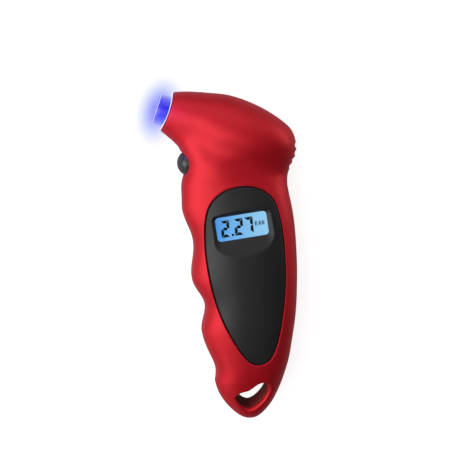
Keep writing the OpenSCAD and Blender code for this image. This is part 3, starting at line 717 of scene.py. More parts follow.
    t2, ph2 = np.concatenate(T2), np.concatenate(PH2)
    q = skin(t2, ph2, side, off_at(t2))
    j0 = len(b.v)
    b.add(q)
    for tri in triangles(uv(t2, ph2), loops2):
        b.face([j0 + k for k in tri])

    def out(ix):
        return [i0 + k for k in ix]

    def inn(ix):
        return [j0 + k for k in ix]

    # Edges on the parting plane, the slot's wall, and the mouth.
    o_thumb = out(e_thumb)
    n_near = len(near_rows)
    b.bridge(o_thumb[:n_near], inn(i_thumb), closed=False)
    k_far = len(e_low) - len(i_low)
    b.bridge(out(e_finger[k_far:]), inn(i_finger), closed=False)
    b.bridge(out([e_finger[-1]] + e_mouth + [e_thumb[0]]), inn([i_finger[-1]] + i_mouth + [i_thumb[0]]), closed=False)
    # Tip, end of the cavity and the web with the strap hole.
    b.face(out([e_thumb[-1]] + e_tip + [e_finger[0]]))
    b.face(inn([i_thumb2[-1]] + i_end + [i_low2[0]]))
    strap_mid = b.ring(STRAP_LINE + STRAP_LEAN * 9.5, 0.0)
    # The strap hole's wall takes the second, darker material: painted shade.
    b.bridge(out(strap), strap_mid, mat=1)
    web = o_thumb[n_near - 1:] + out(e_finger[:k_far + 1]) + inn([i_low[0]] + i_low2[::-1]) + inn(i_thumb2[::-1] + [i_thumb[-1]])
    b.fill(web, [strap_mid])

    if side > 0:
        b.bridge(out(opening), inn(inner_loops[0]))
    else:
        # Recess for the cover, with the battery tub and a blind screw hole in its floor.
        floor = b.ring(opening_plan, -14.2)
        b.bridge(out(opening), floor)
        bx, by, cy = 6.3, 10.7, -33.8

        def box(x, y, z, r, n=6):
            a = np.linspace(0, np.pi / 2, n)
            pts = []
            for qx, qy, a0 in ((1, 1, 0), (-1, 1, 90), (-1, -1, 180), (1, -1, 270)):
                aa = a + math.radians(a0)
                pts.append(np.stack([qx * (x - r) + r * np.cos(aa), cy + qy * (y - r) + r * np.sin(aa)], 1))
            return b.ring(np.vstack(pts), z)

        lip = box(bx + 0.25, by + 0.25, -14.2, 0.6)
        lip2 = box(bx, by, -13.95, 0.5)
        roof = box(bx, by, -2.0, 0.5)
        scr0 = b.ring(circle((-1, -49.3), 1.05, 24), -14.2)
        scr1 = b.ring(circle((-1, -49.3), 1.05, 24), -7.6)
        b.fill(floor, [lip, scr0])
        b.bridge(lip, lip2)
        b.bridge(lip2, roof)
        b.fill(roof)
        b.bridge(scr0, scr1)
        b.fill(scr1)
        pad = b.ring(holes2[0], -12.4)
        b.bridge(inn(inner_loops[0]), pad)
        tub0 = box(bx + 1.2, by + 1.2, -12.4, 0.8)
        tub1 = box(bx + 1.2, by + 1.2, -0.8, 0.8)
        post0 = b.ring(circle((-1, -49.3), 2.4, 24), -12.4)
        post1 = b.ring(circle((-1, -49.3), 2.4, 24), -6.5)
        b.fill(pad, [tub0, post0])
        b.bridge(tub0, tub1)
        b.fill(tub1)
        b.bridge(post0, post1)
        b.fill(post1)
        for (q, loop, lp), boss in zip(bores, inner_loops[1:] + [None]):
            seat = b.ring(lp, q[2])
            b.bridge(out(loop), seat)
            b.fill(seat)
            if boss:
                top = b.ring(circle(q, 3.3, 32), -1.0)
                b.bridge(inn(boss), top)
                b.fill(top)
    return b.done(name, "housing", mats)


# ------------------------------------------------------------------- front panel
def rounded_gap(p, x0, y0, x1, y1, r):
    """Distance to a rectangle with round corners, negative inside it."""
    if isinstance(r, tuple):                   # lower left, lower right, upper left, upper right
        low, left = p[:, 1] < (y0 + y1) / 2, p[:, 0] < (x0 + x1) / 2
        r = np.where(low, np.where(left, r[0], r[1]), np.where(left, r[2], r[3]))
    qx = np.abs(p[:, 0] - (x0 + x1) / 2) - (x1 - x0) / 2 + r
    qy = np.abs(p[:, 1] - (y0 + y1) / 2) - (y1 - y0) / 2 + r
    return np.hypot(np.maximum(qx, 0), np.maximum(qy, 0)) + np.minimum(np.maximum(qx, qy), 0) - r


LIP = 12.42            # top of the thin lip round the display


def pocket_at(p):
    """Height of the pocket's sloping walls over a plan point."""
    lo, hi = np.zeros(len(p)), np.full(len(p), 1.6)
    for _ in range(40):
        f = (lo + hi) / 2
        out = rounded_gap(p, -12.1 - 9.0 * f, -5.6 - 14.5 * f, 12.1 + 11.0 * f, 5.6 + 4.2 * f,
                          (1.7 + 3.3 * f, 1.7 + 12.8 * f, 1.7 + 3.8 * f, 1.7 + 4.3 * f)) > 0
        lo = np.where(out, f, lo)
        hi = np.where(out, hi, f)
    return LIP + 5 * (lo + hi) / 2


def plain_face(p):
    return height_at(p, 1) - 0.35


def panel_face(p):
    return soft_min(plain_face(p), pocket_at(p), 0.28)


def on_ray(p, test):
    """Share of the way from the display's centre to p at which test turns true."""
    lo, hi = np.zeros(len(p)), np.ones(len(p))
    for _ in range(40):
        m = (lo + hi) / 2
        hit = test(p * m[:, None])
        hi = np.where(hit, m, hi)
        lo = np.where(hit, lo, m)
    return (lo + hi) / 2


def box_loop(x0, y0, x1, y1, r, n=6, m=9):
    """Rectangle with round corners, anticlockwise, with points along its sides too."""
    pts = []
    for cx, cy, a0 in ((x1 - r, y1 - r, 0), (x0 + r, y1 - r, 90), (x0 + r, y0 + r, 180), (x1 - r, y0 + r, 270)):
        a = np.linspace(0, np.pi / 2, n) + math.radians(a0)
        pts.append(np.stack([cx + r * np.cos(a), cy + r * np.sin(a)], 1))
    line = []
    for k in range(4):
        line.append(pts[k])
        a, b = pts[k][-1], pts[(k + 1) % 4][0]
        f = np.linspace(0, 1, m + 2)[1:-1, None]
        v = b - a
        line.append(a + f * v + 4 * f * (1 - f) * 0.01 * np.array([v[1], -v[0]]) / np.hypot(*v))
    return np.vstack(line)


def front_panel(mat):
    b = Build()
    nrm = EGG_NRM[::5]
    edge = EGG_FINE[::5] - 0.3 * nrm
    reach = np.hypot(*edge.T)
    s_lcd = on_ray(edge, lambda p: rounded_gap(p, -12.1, -5.6, 12.1, 5.6, 1.7) > 0)
    s_fold = on_ray(edge, lambda p: pocket_at(p) > plain_face(p))
    s_fold = np.maximum(s_fold, s_lcd + 0.5 / reach)
    room = (s_fold - s_lcd) * reach
    w = np.minimum(1.3, 0.5 * room) / reach
    w2 = np.minimum(1.3, 0.3 * (1 - s_fold) * reach) / reach
    d, drop = fillet(0.45, 6)
    s_edge = 1 - (d[-1] + 0.25) / reach
    rings = []

    def ring_at(s, dz=0.0):
        p = edge * s[:, None]
        rings.append(b.ring(p, panel_face(p) - dz))

    p = edge * s_lcd[:, None]
    under = b.ring(p, 12.18)
    rings.append(b.ring(p, LIP - 0.08))
    ring_at(s_lcd + 0.08 / reach)
    for f in (0.12, 0.3, 0.5, 0.7, 0.86):
        ring_at(s_lcd + 0.08 / reach + (s_fold - w - s_lcd - 0.08 / reach) * f)
    for f in np.linspace(-1, 1, 13):
        ring_at(s_fold + f * (w if f < 0 else w2))
    for f in np.linspace(0, 1, 26)[1:]:
        ring_at(s_fold + w2 + (s_edge - s_fold - w2) * f)
    for dd, dr in list(zip(d, drop))[::-1]:
        ring_at(1 - dd / reach, dr)
    rim = EGG_FINE[::5] + 0.9 * nrm
    rings.append(b.ring(edge, height_at(edge, 1, 2.35)))
    low = height_at(rim, 1, 2.35)
    rings.append(b.ring(rim, low))
    rings.append(b.ring(rim, low - 0.9))
    for a, c in zip(rings, rings[1:]):
        b.bridge(a, c)
    b.bridge(under, rings[0])
    # Back: inside of the face, frame round the display's seat, and two posts for the board's screws.
    def back(p):
        return height_at(p, 1, 2.35) - 0.9

    frame_plan = box_loop(-14.8, -9.6, 14.8, 8.2, 0.6)
    seat_plan = box_loop(-13.4, -8.3, 13.4, 6.9, 0.4)
    posts = [circle(c, 2.1, 28) for c in ((-11.5, -18.6), (11.5, -18.6))]
    gx, gy = np.meshgrid(np.arange(-17, 18, 2.3), np.arange(-66, 19, 2.3))
    inner = np.stack([gx.ravel() + 0.013 * gy.ravel(), gy.ravel() + 0.017 * gx.ravel()], 1)
    keep = (gap_to(inner, rim) < -1.3) & (gap_to(inner, frame_plan) > 1.0)
    for q in posts:
        keep &= gap_to(inner, q) > 0.8
    inner = inner[keep]
    top = b.ring(frame_plan, back(frame_plan))
    feet = [b.ring(q, back(q)) for q in posts]
    b.fill(rings[-1], [top] + feet, more=b.ring(inner, back(inner)))
    low = b.ring(frame_plan, 8.8)
    seat_low = b.ring(seat_plan, 8.8)
    seat_top = b.ring(seat_plan, 12.18)
    b.bridge(top, low)
    b.bridge(low, seat_low)
    b.bridge(seat_low, seat_top)
    b.fill(seat_top, [under])
    for c, q, foot in zip(((-11.5, -18.6), (11.5, -18.6)), posts, feet):
        end = b.ring(q, 3.5)
        bore = circle(c, 0.95, 28)
        lip, deep = b.ring(bore, 3.5), b.ring(bore, 9.0)
        b.bridge(foot, end)
        b.bridge(end, lip)
        b.bridge(lip, deep)
        b.fill(deep)
    obj = b.done("front_panel_face", "housing", mat)
    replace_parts(obj, "front_panel")


# ------------------------------------------------------------------------ reading
def prism(b, poly, z0, z1):
    """Closed slab of a convex outline."""
    lo, hi = b.ring(poly, z0), b.ring(poly, z1)
    b.bridge(lo, hi)
    b.face(hi)
    b.face(lo[::-1])


def digit(b, at, lit, h, w, t, gap, slant):
    """Seven-segment figure: slabs with mitred ends."""
    x, y, g = w / 2, h / 2, gap
    bars = {
        "a": [(-x + g, y), (x - g, y), (x - t - g, y - t), (-x + t + g, y - t)],
        "f": [(-x, y - g), (-x, g), (-x + t / 2, g), (-x + t, t / 2 + g), (-x + t, y - t - g)],
        "g": [(-x + t / 2 + g, 0), (-x + t + g, t / 2), (x - t - g, t / 2), (x - t / 2 - g, 0), (x - t - g, -t / 2), (-x + t + g, -t / 2)]}
    bars["b"] = [(-u, v) for u, v in bars["f"]]
    for new, old in (("d", "a"), ("e", "f"), ("c", "b")):
        bars[new] = [(u, -v) for u, v in bars[old]]
    for k in lit:
        p = np.array(bars[k], float)
        area2 = np.sum(p[:, 0] * np.roll(p[:, 1], -1) - p[:, 1] * np.roll(p[:, 0], -1))
        p = p if area2 > 0 else p[::-1]
        p = np.stack([p[:, 0] + slant * p[:, 1] + at[0], p[:, 1] + at[1]], 1)
        prism(b, p, 10.80, 10.87)


def reading(mat, grey):
    b = Build()
    two, seven = "abged", "abc"
    h, w, t, gap, slant = 7.8, 4.05, 1.34, 0.12, 0.05
    digit(b, (-7.8, -0.1), two, h, w, t, gap, slant)
    digit(b, (-1.4, -0.1), two, h, w, t, gap, slant)
    digit(b, (3.35, -0.1), seven, h, w, t, gap, slant)
    prism(b, box_loop(-5.2, -3.95, -4.1, -2.85, 0.2, 4, 0), 10.80, 10.87)
    b.done("lcd_figures", "housing", mat, sharp=30)
    # Unit mark: B, A, R in thin strokes.
    b = Build()
    t, h, w, e = 0.40, 2.05, 1.30, 0.012
    low, high = h / 2 - t / 2, h / 2 + t / 2
    for k, letter in enumerate("BAR"):
        at = np.array([6.35 + 1.62 * k, -0.8])
        bars = [(0, 0, t, h), (t, h - t, w - t, h), (t, low, w - t, high), (w - t, high, w, h - t)]
        if letter == "B":
            bars += [(t, 0, w - t, t), (w - t, t, w, low)]
        if letter == "A":
            leg = np.array([(0, 0), (0.42, 0), (w / 2 - e, h - 0.55), (w / 2 - e, h), (w / 2 - 0.22, h)])
            prism(b, at + leg, 10.80, 10.86)
            prism(b, at + (np.array([w, 0]) + leg * (-1, 1))[::-1], 10.80, 10.86)
            bars = [(0.56, 0.46, w - 0.56, 0.74)]
        if letter == "R":
            prism(b, at + np.array([(w - 0.40, 0), (w, 0), (0.90, low - e), (0.48, low - e)]), 10.80, 10.86)
        for u0, v0, u1, v1 in bars:
            prism(b, at + np.array([(u0 + e, v0 + e), (u1 - e, v0 + e), (u1 - e, v1 - e), (u0 + e, v1 - e)]), 10.80, 10.86)
    b.done("lcd_unit_mark", "housing", grey, sharp=30)


# ------------------------------------------------------------------------- button
def slot_loop(length, width, n):
    """Whole outline of the button's slot shape in (y, z), anticlockwise from +y."""
    r, run = length / 2, (width - length) / 2
    a = np.arange(1440) * 2 * np.pi / 1440
    p = np.stack([r * np.cos(a), r * np.sin(a) + np.where(np.sin(a) >= 0, run, -run)], 1)
    return resample(p, n)


def button(mat):
    b = Build()
    n = 88
    rim = slot_loop(11.0, 13.0, n)

    def dome(q):
        return -17.9 - 7.0 * np.sqrt(np.clip(1 - (q[:, 0] / 6.6) ** 2 - (q[:, 1] / 7.4) ** 2, 0, None))

    def loop(q, x):
        x = np.broadcast_to(np.asarray(x, float), (len(q),))
        return b.add(np.stack([x, q[:, 0] + BTN_Y, q[:, 1]], 1))

    d, drop = fillet(0.6, 7)
    size = np.hypot(*rim.T)
    rings = []
    for f in np.linspace(0.06, 1, 16):
        q = rim * ((size - d[-1] - 0.15) / size * f)[:, None]
        rings.append(loop(q, dome(q)))
    for dd, dr in list(zip(d, drop))[::-1]:
        q = rim * ((size - dd) / size)[:, None]
        rings.append(loop(q, dome(q) + dr))
    skirt = slot_loop(11.0, 13.0, n)
    flange = slot_loop(13.0, 14.0, n)
    rings.append(loop(skirt, -17.2))
    rings.append(loop(skirt * 1.012, -16.9))
    rings.append(loop(flange * 0.985, -16.9))
    rings.append(loop(flange, -16.8))
    rings.append(loop(flange, -16.1))
    rings.append(loop(flange * 0.985, -16.0))
    a = np.arctan2(rim[:, 1], rim[:, 0])
    stem = 1.6 * np.stack([np.cos(a), np.sin(a)], 1)
    rings.append(loop(stem, -16.0))
    rings.append(loop(stem, -15.75))
    rings.append(loop(stem * 0.94, -15.65))
    for p, q in zip(rings, rings[1:]):
        b.bridge(p, q)
    b.fan(b.add([(-24.9, BTN_Y, 0.0)])[0], rings[0])
    b.fan(b.add([(-15.65, BTN_Y, 0.0)])[0], rings[-1])
    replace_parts(b.done("power_button_dome", "button", mat), "power_button")


# ------------------------------------------------------------------------- nozzle
def revolve(profile, n, name, body, mats, sharp=38.0):
    """Closed profile of (radius, place along the nozzle) turned round the nozzle's line."""
    b = Build()
    a = np.arange(n) * 2 * np.pi / n
    side = np.array([AXIS_N[1], -AXIS_N[0]])
    loops = []
    for r, h in profile:
        xy = MOUTH + AXIS_N * h + side * (r * np.cos(a))[:, None]
        loops.append(b.add(np.column_stack([xy, r * np.sin(a)])))
    for p, q in zip(loops, loops[1:] + loops[:1]):
        b.bridge(p, q)
    return b.done(name, body, mats, sharp)


def nozzle(mat):
    a = np.linspace(0, np.pi / 2, 12)
    nose = [(4.8 + 2.6 * math.sin(k), 3.4 + 2.6 * math.cos(k)) for k in a]
    lip = [(4.1, 5.15), (4.16, 5.4), (4.32, 5.66), (4.56, 5.88)]
    body = [(7.4, 1.2), (7.4, -1.0), (7.4, -3.6), (7.4, -6.45), (7.55, -6.6), (8.35, -6.6), (8.5, -6.75), (8.5, -8.85), (8.35, -9.0), (5.75, -9.0), (5.6, -8.85),
            (5.6, -4.0), (5.6, 0.6), (4.1, 0.6), (4.1, 2.6)]
    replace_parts(revolve(lip + nose + body, 96, "nozzle_clear_tip", "housing", mat), "nozzle_tip")


def mouth_ring(mat):
    """Thin ring that follows the edge of the head's mouth, round the nozzle: a dark band next to the shell, painted
    shade in the gap, then a pale band, a painted highlight.
    """
    b = Build()
    ph = np.linspace(0, np.pi, 73)

    def loop(off, h):
        p = np.vstack([skin(np.zeros(73), ph, 1, off), skin(np.zeros(71), ph[-2:0:-1], -1, off)])
        p[:, :2] += AXIS_N * h
        return b.add(p)

    rings = [loop(1.65, 0.05), loop(0.45, 0.05), loop(0.45, 0.32), loop(0.33, 0.32), loop(0.30, 0.36), loop(0.30, 0.56), loop(0.38, 0.62), loop(1.65, 0.62)]
    # Next to the shell the ring takes the dark material, painted shade; the rest takes the pale painted highlight.
    for k, (p, q) in enumerate(zip(rings, rings[1:] + rings[:1])):
        b.bridge(p, q, mat=1 if k < 3 else 0)
    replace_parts(b.done("mouth_ring_pale", "housing", mat), "mouth_ring")


# ------------------------------------------------------------------ battery cover
def battery_cover(mat):
    b = Build()
    n = 180
    plan = [hull_of_circles(COVER, g, n) for g in (0.0, -0.12, -0.4)]
    inner_top = b.ring(plan[1], -14.3)
    outer = [inner_top, b.ring(plan[0], -14.42), b.ring(plan[0], -15.45)]
    a = np.linspace(0, np.pi / 2, 6)[1:]
    for k in a:
        g = -0.45 * (1 - math.cos(k))
        outer.append(b.ring(hull_of_circles(COVER, g, n), -15.45 - 0.45 * math.sin(k)))
    for p, q in zip(outer, outer[1:]):
        b.bridge(p, q)
    # Outer face with grip grooves and the screw's counterbore.
    holes = []
    for k in range(4):
        y = -15.05 - 1.6 * k
        g0, g1, g2 = (box_loop(-5 + e, y - 0.35 + e, 5 - e, y + 0.35 - e, 0.24 - e * 0.5, 5, 5) for e in (-0.12, 0.0, 0.1))
        r0, r1, r2 = b.ring(g0, -15.9), b.ring(g1, -15.78), b.ring(g2, -15.5)
        b.bridge(r0, r1)
        b.bridge(r1, r2)
        b.fill(r2)
        holes.append(r0)
    c = (-1.0, -49.3)
    c0, c1 = b.ring(circle(c, 2.45, 40), -15.9), b.ring(circle(c, 2.3, 40), -15.75)
    c2, c3 = b.ring(circle(c, 2.3, 40), -15.0), b.ring(circle(c, 1.2, 40), -15.0)
    c4 = b.ring(circle(c, 1.2, 40), -14.3)
    for p, q in ((c0, c1), (c1, c2), (c2, c3), (c3, c4)):
        b.bridge(p, q)
    b.fill(outer[-1], holes + [c0])
    # Inner face with the two rails.
    feet = []
    for k in (-1, 1):
        foot = box_loop(k * 5.5 - 0.5, -43.4, k * 5.5 + 0.5, -24.2, 0.15, 3, 9)
        tip = box_loop(k * 5.5 - 0.38, -43.28, k * 5.5 + 0.38, -24.32, 0.15, 3, 9)
        f0, f1, f2 = b.ring(foot, -14.3), b.ring(foot, -13.02), b.ring(tip, -12.9)
        b.bridge(f0, f1)
        b.bridge(f1, f2)
        b.fill(f2)
        feet.append(f0)
    b.fill(inner_top, feet + [c4])
    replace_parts(b.done("battery_cover_plate", "cover", mat), "battery_cover")


# --------------------------------------------------------------------- materials
def new_mat(name):
    m = bpy.data.materials.new(name)
    m.use_nodes = True
    nt = m.node_tree
    return m, nt, nt.nodes["Principled BSDF"]


def node(nt, kind, **vals):
    n = nt.nodes.new(kind)
    for k, v in vals.items():
        if k in n.inputs:
            n.inputs[k].default_value = v
        else:
            setattr(n, k, v)
    return n


def ramp(nt, stops):
    n = nt.nodes.new("ShaderNodeValToRGB")
    e = n.color_ramp.elements
    while len(e) < len(stops):
        e.new(0.5)
    for k, (pos, col) in enumerate(stops):
        e[k].position = pos
        e[k].color = (*col, 1.0) if len(col) == 3 else col
    return n


def srgb(r, g, b):
    return tuple(((c / 255) / 12.92 if c / 255 <= 0.04045 else ((c / 255 + 0.055) / 1.055) ** 2.4) for c in (r, g, b))


def plastic(name, light, dark, rough, bump, scale, metallic=0.0, spread=0.06, coat=0.0, coat_rough=0.2, ior=1.5, spec=0.5,
            sheen=0.0, sheen_rough=0.4, sheen_tint=(1.0, 1.0, 1.0)):
    """Moulded or painted surface: slow colour drift, fine grain in bump and roughness."""
    m, nt, p = new_mat(name)
    tc = node(nt, "ShaderNodeTexCoord")
    slow = node(nt, "ShaderNodeTexNoise", Scale=45.0, Detail=3.0)
    fine = node(nt, "ShaderNodeTexNoise", Scale=scale, Detail=2.0)
    for n in (slow, fine):
        nt.links.new(tc.outputs["Object"], n.inputs["Vector"])
    col = ramp(nt, [(0.3, dark), (0.7, light)])
    nt.links.new(slow.outputs["Fac"], col.inputs["Fac"])
    nt.links.new(col.outputs["Color"], p.inputs["Base Color"])
    rr = node(nt, "ShaderNodeMapRange")
    rr.inputs["To Min"].default_value = rough - spread
    rr.inputs["To Max"].default_value = rough + spread
    nt.links.new(fine.outputs["Fac"], rr.inputs["Value"])
    nt.links.new(rr.outputs["Result"], p.inputs["Roughness"])
    bp = node(nt, "ShaderNodeBump", Strength=bump, Distance=0.0002)
    nt.links.new(fine.outputs["Fac"], bp.inputs["Height"])
    nt.links.new(bp.outputs["Normal"], p.inputs["Normal"])
    p.inputs["Metallic"].default_value = metallic
    p.inputs["Coat Weight"].default_value = coat
    p.inputs["Coat Roughness"].default_value = coat_rough
    p.inputs["IOR"].default_value = ior
    p.inputs["Specular IOR Level"].default_value = spec
    p.inputs["Sheen Weight"].default_value = sheen
    p.inputs["Sheen Roughness"].default_value = sheen_rough
    p.inputs["Sheen Tint"].default_value = (*sheen_tint, 1.0)
    return m


def metal(name, light, dark, rough, stretch=(1.0, 1.0, 12.0), scale=900.0, bump=0.08):
    """Turned, plated or brushed metal: streaks in colour, roughness and bump."""
    m, nt, p = new_mat(name)
    tc = node(nt, "ShaderNodeTexCoord")
    mp = node(nt, "ShaderNodeMapping")
    mp.inputs["Scale"].default_value = stretch
    nt.links.new(tc.outputs["Object"], mp.inputs["Vector"])
    fine = node(nt, "ShaderNodeTexNoise", Scale=scale, Detail=4.0)
    nt.links.new(mp.outputs["Vector"], fine.inputs["Vector"])
    col = ramp(nt, [(0.3, dark), (0.7, light)])
    nt.links.new(fine.outputs["Fac"], col.inputs["Fac"])
    nt.links.new(col.outputs["Color"], p.inputs["Base Color"])
    rr = node(nt, "ShaderNodeMapRange")
    rr.inputs["To Min"].default_value = rough - 0.07
    rr.inputs["To Max"].default_value = rough + 0.09
    nt.links.new(fine.outputs["Fac"], rr.inputs["Value"])
    nt.links.new(rr.outputs["Result"], p.inputs["Roughness"])
    bp = node(nt, "ShaderNodeBump", Strength=bump, Distance=0.0001)
    nt.links.new(fine.outputs["Fac"], bp.inputs["Height"])
    nt.links.new(bp.outputs["Normal"], p.inputs["Normal"])
    p.inputs["Metallic"].default_value = 1.0
    return m


def clear(name, tint, rough, transmission, ior=1.47, spec=0.5):
    """Clear moulding with the faint waves and fine scuffs of polished plastic."""
    m, nt, p = new_mat(name)
    tc = node(nt, "ShaderNodeTexCoord")
    scuff = node(nt, "ShaderNodeTexNoise", Scale=700.0, Detail=5.0)
    wave = node(nt, "ShaderNodeTexNoise", Scale=60.0, Detail=1.0)
    for n in (scuff, wave):
        nt.links.new(tc.outputs["Object"], n.inputs["Vector"])
    rr = node(nt, "ShaderNodeMapRange")
    rr.inputs["From Min"].default_value = 0.45
    rr.inputs["From Max"].default_value = 0.8
    rr.inputs["To Min"].default_value = rough
    rr.inputs["To Max"].default_value = rough + 0.08
    nt.links.new(scuff.outputs["Fac"], rr.inputs["Value"])
    nt.links.new(rr.outputs["Result"], p.inputs["Roughness"])
    bp = node(nt, "ShaderNodeBump", Strength=0.02, Distance=0.0002)
    nt.links.new(wave.outputs["Fac"], bp.inputs["Height"])
    nt.links.new(bp.outputs["Normal"], p.inputs["Normal"])
    p.inputs["Base Color"].default_value = (*tint, 1.0)
    p.inputs["Transmission Weight"].default_value = transmission
    p.inputs["IOR"].default_value = ior
    p.inputs["Specular IOR Level"].default_value = spec
    return m


def lcd_lit():
    """Backlit display: the light falls off from the right end to the left, with a fine diffuser grain."""
    m, nt, p = new_mat("lcd_lit")
    tc = node(nt, "ShaderNodeTexCoord")
    xyz = node(nt, "ShaderNodeSeparateXYZ")
    nt.links.new(tc.outputs["Object"], xyz.inputs["Vector"])
    lo, hi = row_frame((-12.1, -5.6, 0)), row_frame((12.1, 5.6, 0))
    mr = node(nt, "ShaderNodeMapRange")
    mr.inputs["From Min"].default_value = lo[0]
    mr.inputs["From Max"].default_value = hi[0]
    nt.links.new(xyz.outputs["X"], mr.inputs["Value"])
    grain = node(nt, "ShaderNodeTexNoise", Scale=160.0, Detail=2.0)
    nt.links.new(tc.outputs["Object"], grain.inputs["Vector"])
    add = node(nt, "ShaderNodeMath", operation="MULTIPLY_ADD")
    add.inputs[1].default_value = 0.16
    nt.links.new(grain.outputs["Fac"], add.inputs[0])
    nt.links.new(mr.outputs["Result"], add.inputs[2])
    col = ramp(nt, [(0.05, srgb(70, 148, 232)), (0.32, srgb(104, 176, 238)), (0.7, srgb(128, 192, 240)), (1.0, srgb(150, 206, 246))])
    nt.links.new(add.outputs["Value"], col.inputs["Fac"])
    nt.links.new(col.outputs["Color"], p.inputs["Emission Color"])
    p.inputs["Emission Strength"].default_value = 1.0
    p.inputs["Base Color"].default_value = (0.03, 0.05, 0.07, 1.0)
    p.inputs["Roughness"].default_value = 0.35
    return m


def nozzle_lit():
    """Clear tip lit blue from inside, deep blue over the lamps; the pale sides and the pale line and end along its
    rounded nose are painted reflection and highlight, set by place.
    """
    m, nt, p = new_mat("nozzle_lit")
    tc = node(nt, "ShaderNodeTexCoord")
    out = []
    for d, lo, hi in ((AXIS_N, -2.0, 6.0), (np.array([AXIS_N[1], -AXIS_N[0]]), -7.4, 7.4)):
        dot = node(nt, "ShaderNodeVectorMath", operation="DOT_PRODUCT")
        dot.inputs[1].default_value = (d[0], d[1], 0.0)
        nt.links.new(tc.outputs["Object"], dot.inputs[0])
        base = float(row_frame((*MOUTH, 0))[:2] @ d)
        mr = node(nt, "ShaderNodeMapRange")
        mr.inputs["From Min"].default_value = base + lo * 0.001
        mr.inputs["From Max"].default_value = base + hi * 0.001
        nt.links.new(dot.outputs["Value"], mr.inputs["Value"])
        out.append(mr)
    along, across = out
    # Pale towards both sides across the nozzle: painted reflection.
    core = ramp(nt, [(0.0, srgb(168, 176, 250)), (0.16, srgb(104, 110, 240)), (0.36, srgb(52, 52, 232)), (0.60, srgb(18, 14, 200)),
                     (0.74, srgb(60, 54, 226)), (0.88, srgb(132, 132, 242)), (1.0, srgb(190, 192, 252))])
    nt.links.new(across.outputs["Result"], core.inputs["Fac"])
    # Pale line, darker line and pale end on the rounded nose: painted highlight.
    end = ramp(nt, [(0.84, srgb(40, 40, 210)), (0.875, srgb(206, 204, 255)), (0.91, srgb(200, 200, 255)), (0.94, srgb(96, 96, 235)), (0.97, srgb(150, 154, 248)), (1.0, srgb(166, 176, 252))])
    share = ramp(nt, [(0.83, (0, 0, 0)), (0.865, (1, 1, 1))])
    for r in (end, share):
        nt.links.new(along.outputs["Result"], r.inputs["Fac"])
    mixed = node(nt, "ShaderNodeMix", data_type="RGBA")
    nt.links.new(share.outputs["Color"], mixed.inputs["Factor"])
    nt.links.new(core.outputs["Color"], mixed.inputs[6])
    nt.links.new(end.outputs["Color"], mixed.inputs[7])
    nt.links.new(mixed.outputs[2], p.inputs["Emission Color"])
    p.inputs["Emission Strength"].default_value = 0.88
    p.inputs["Base Color"].default_value = (0.02, 0.02, 0.10, 1.0)
    p.inputs["Transmission Weight"].default_value = 0.15
    p.inputs["IOR"].default_value = 1.45
    cloud = node(nt, "ShaderNodeTexNoise", Scale=500.0, Detail=3.0)
    nt.links.new(tc.outputs["Object"], cloud.inputs["Vector"])
    rr = node(nt, "ShaderNodeMapRange")
    rr.inputs["To Min"].default_value = 0.22
    rr.inputs["To Max"].default_value = 0.42
    nt.links.new(cloud.outputs["Fac"], rr.inputs["Value"])
    nt.links.new(rr.outputs["Result"], p.inputs["Roughness"])
    p.inputs["Sheen Weight"].default_value = 0.1
    p.inputs["Sheen Roughness"].default_value = 0.35
    p.inputs["Sheen Tint"].default_value = (0.75, 0.74, 1.0, 1.0)
    p.inputs["Coat Weight"].default_value = 0.25
    p.inputs["Coat Roughness"].default_value = 0.3
    return m


def flange_painted_highlight():
    """Pale edge of the flange round the mouth, with a faint unevenness: a painted highlight given as glow."""
    m, nt, p = new_mat("flange_painted_highlight")
    tc = node(nt, "ShaderNodeTexCoord")
    cloud = node(nt, "ShaderNodeTexNoise", Scale=260.0, Detail=2.0)
    nt.links.new(tc.outputs["Object"], cloud.inputs["Vector"])
    col = ramp(nt, [(0.3, (0.66, 0.62, 0.92)), (0.7, (0.82, 0.78, 1.0))])
    nt.links.new(cloud.outputs["Fac"], col.inputs["Fac"])
    nt.links.new(col.outputs["Color"], p.inputs["Emission Color"])
    nt.links.new(col.outputs["Color"], p.inputs["Base Color"])
    p.inputs["Emission Strength"].default_value = 0.6
    p.inputs["Roughness"].default_value = 0.3
    return m


def board():
    """Solder mask over copper tracks."""
    m, nt, p = new_mat("solder_mask")
    tc = node(nt, "ShaderNodeTexCoord")
    brick = node(nt, "ShaderNodeTexBrick", Scale=260.0)
    brick.inputs["Color1"].default_value = (0.012, 0.10, 0.030, 1)
    brick.inputs["Color2"].default_value = (0.016, 0.13, 0.040, 1)
    brick.inputs["Mortar"].default_value = (0.040, 0.24, 0.075, 1)
    nt.links.new(tc.outputs["Object"], brick.inputs["Vector"])
    nt.links.new(brick.outputs["Color"], p.inputs["Base Color"])
    bp = node(nt, "ShaderNodeBump", Strength=0.3, Distance=0.00005)
    nt.links.new(brick.outputs["Fac"], bp.inputs["Height"])
    nt.links.new(bp.outputs["Normal"], p.inputs["Normal"])
    p.inputs["Roughness"].default_value = 0.35
    p.inputs["Coat Weight"].default_value = 0.4
    return m


def striped(name, a, b, scale, rough):
    """Fine stripes across X, for the zebra strip's conductive layers."""
    m, nt, p = new_mat(name)
    tc = node(nt, "ShaderNodeTexCoord")
    wave = node(nt, "ShaderNodeTexWave", Scale=scale)
    nt.links.new(tc.outputs["Object"], wave.inputs["Vector"])
    col = ramp(nt, [(0.4, a), (0.6, b)])
    nt.links.new(wave.outputs["Fac"], col.inputs["Fac"])
    nt.links.new(col.outputs["Color"], p.inputs["Base Color"])
    p.inputs["Roughness"].default_value = rough
    return m


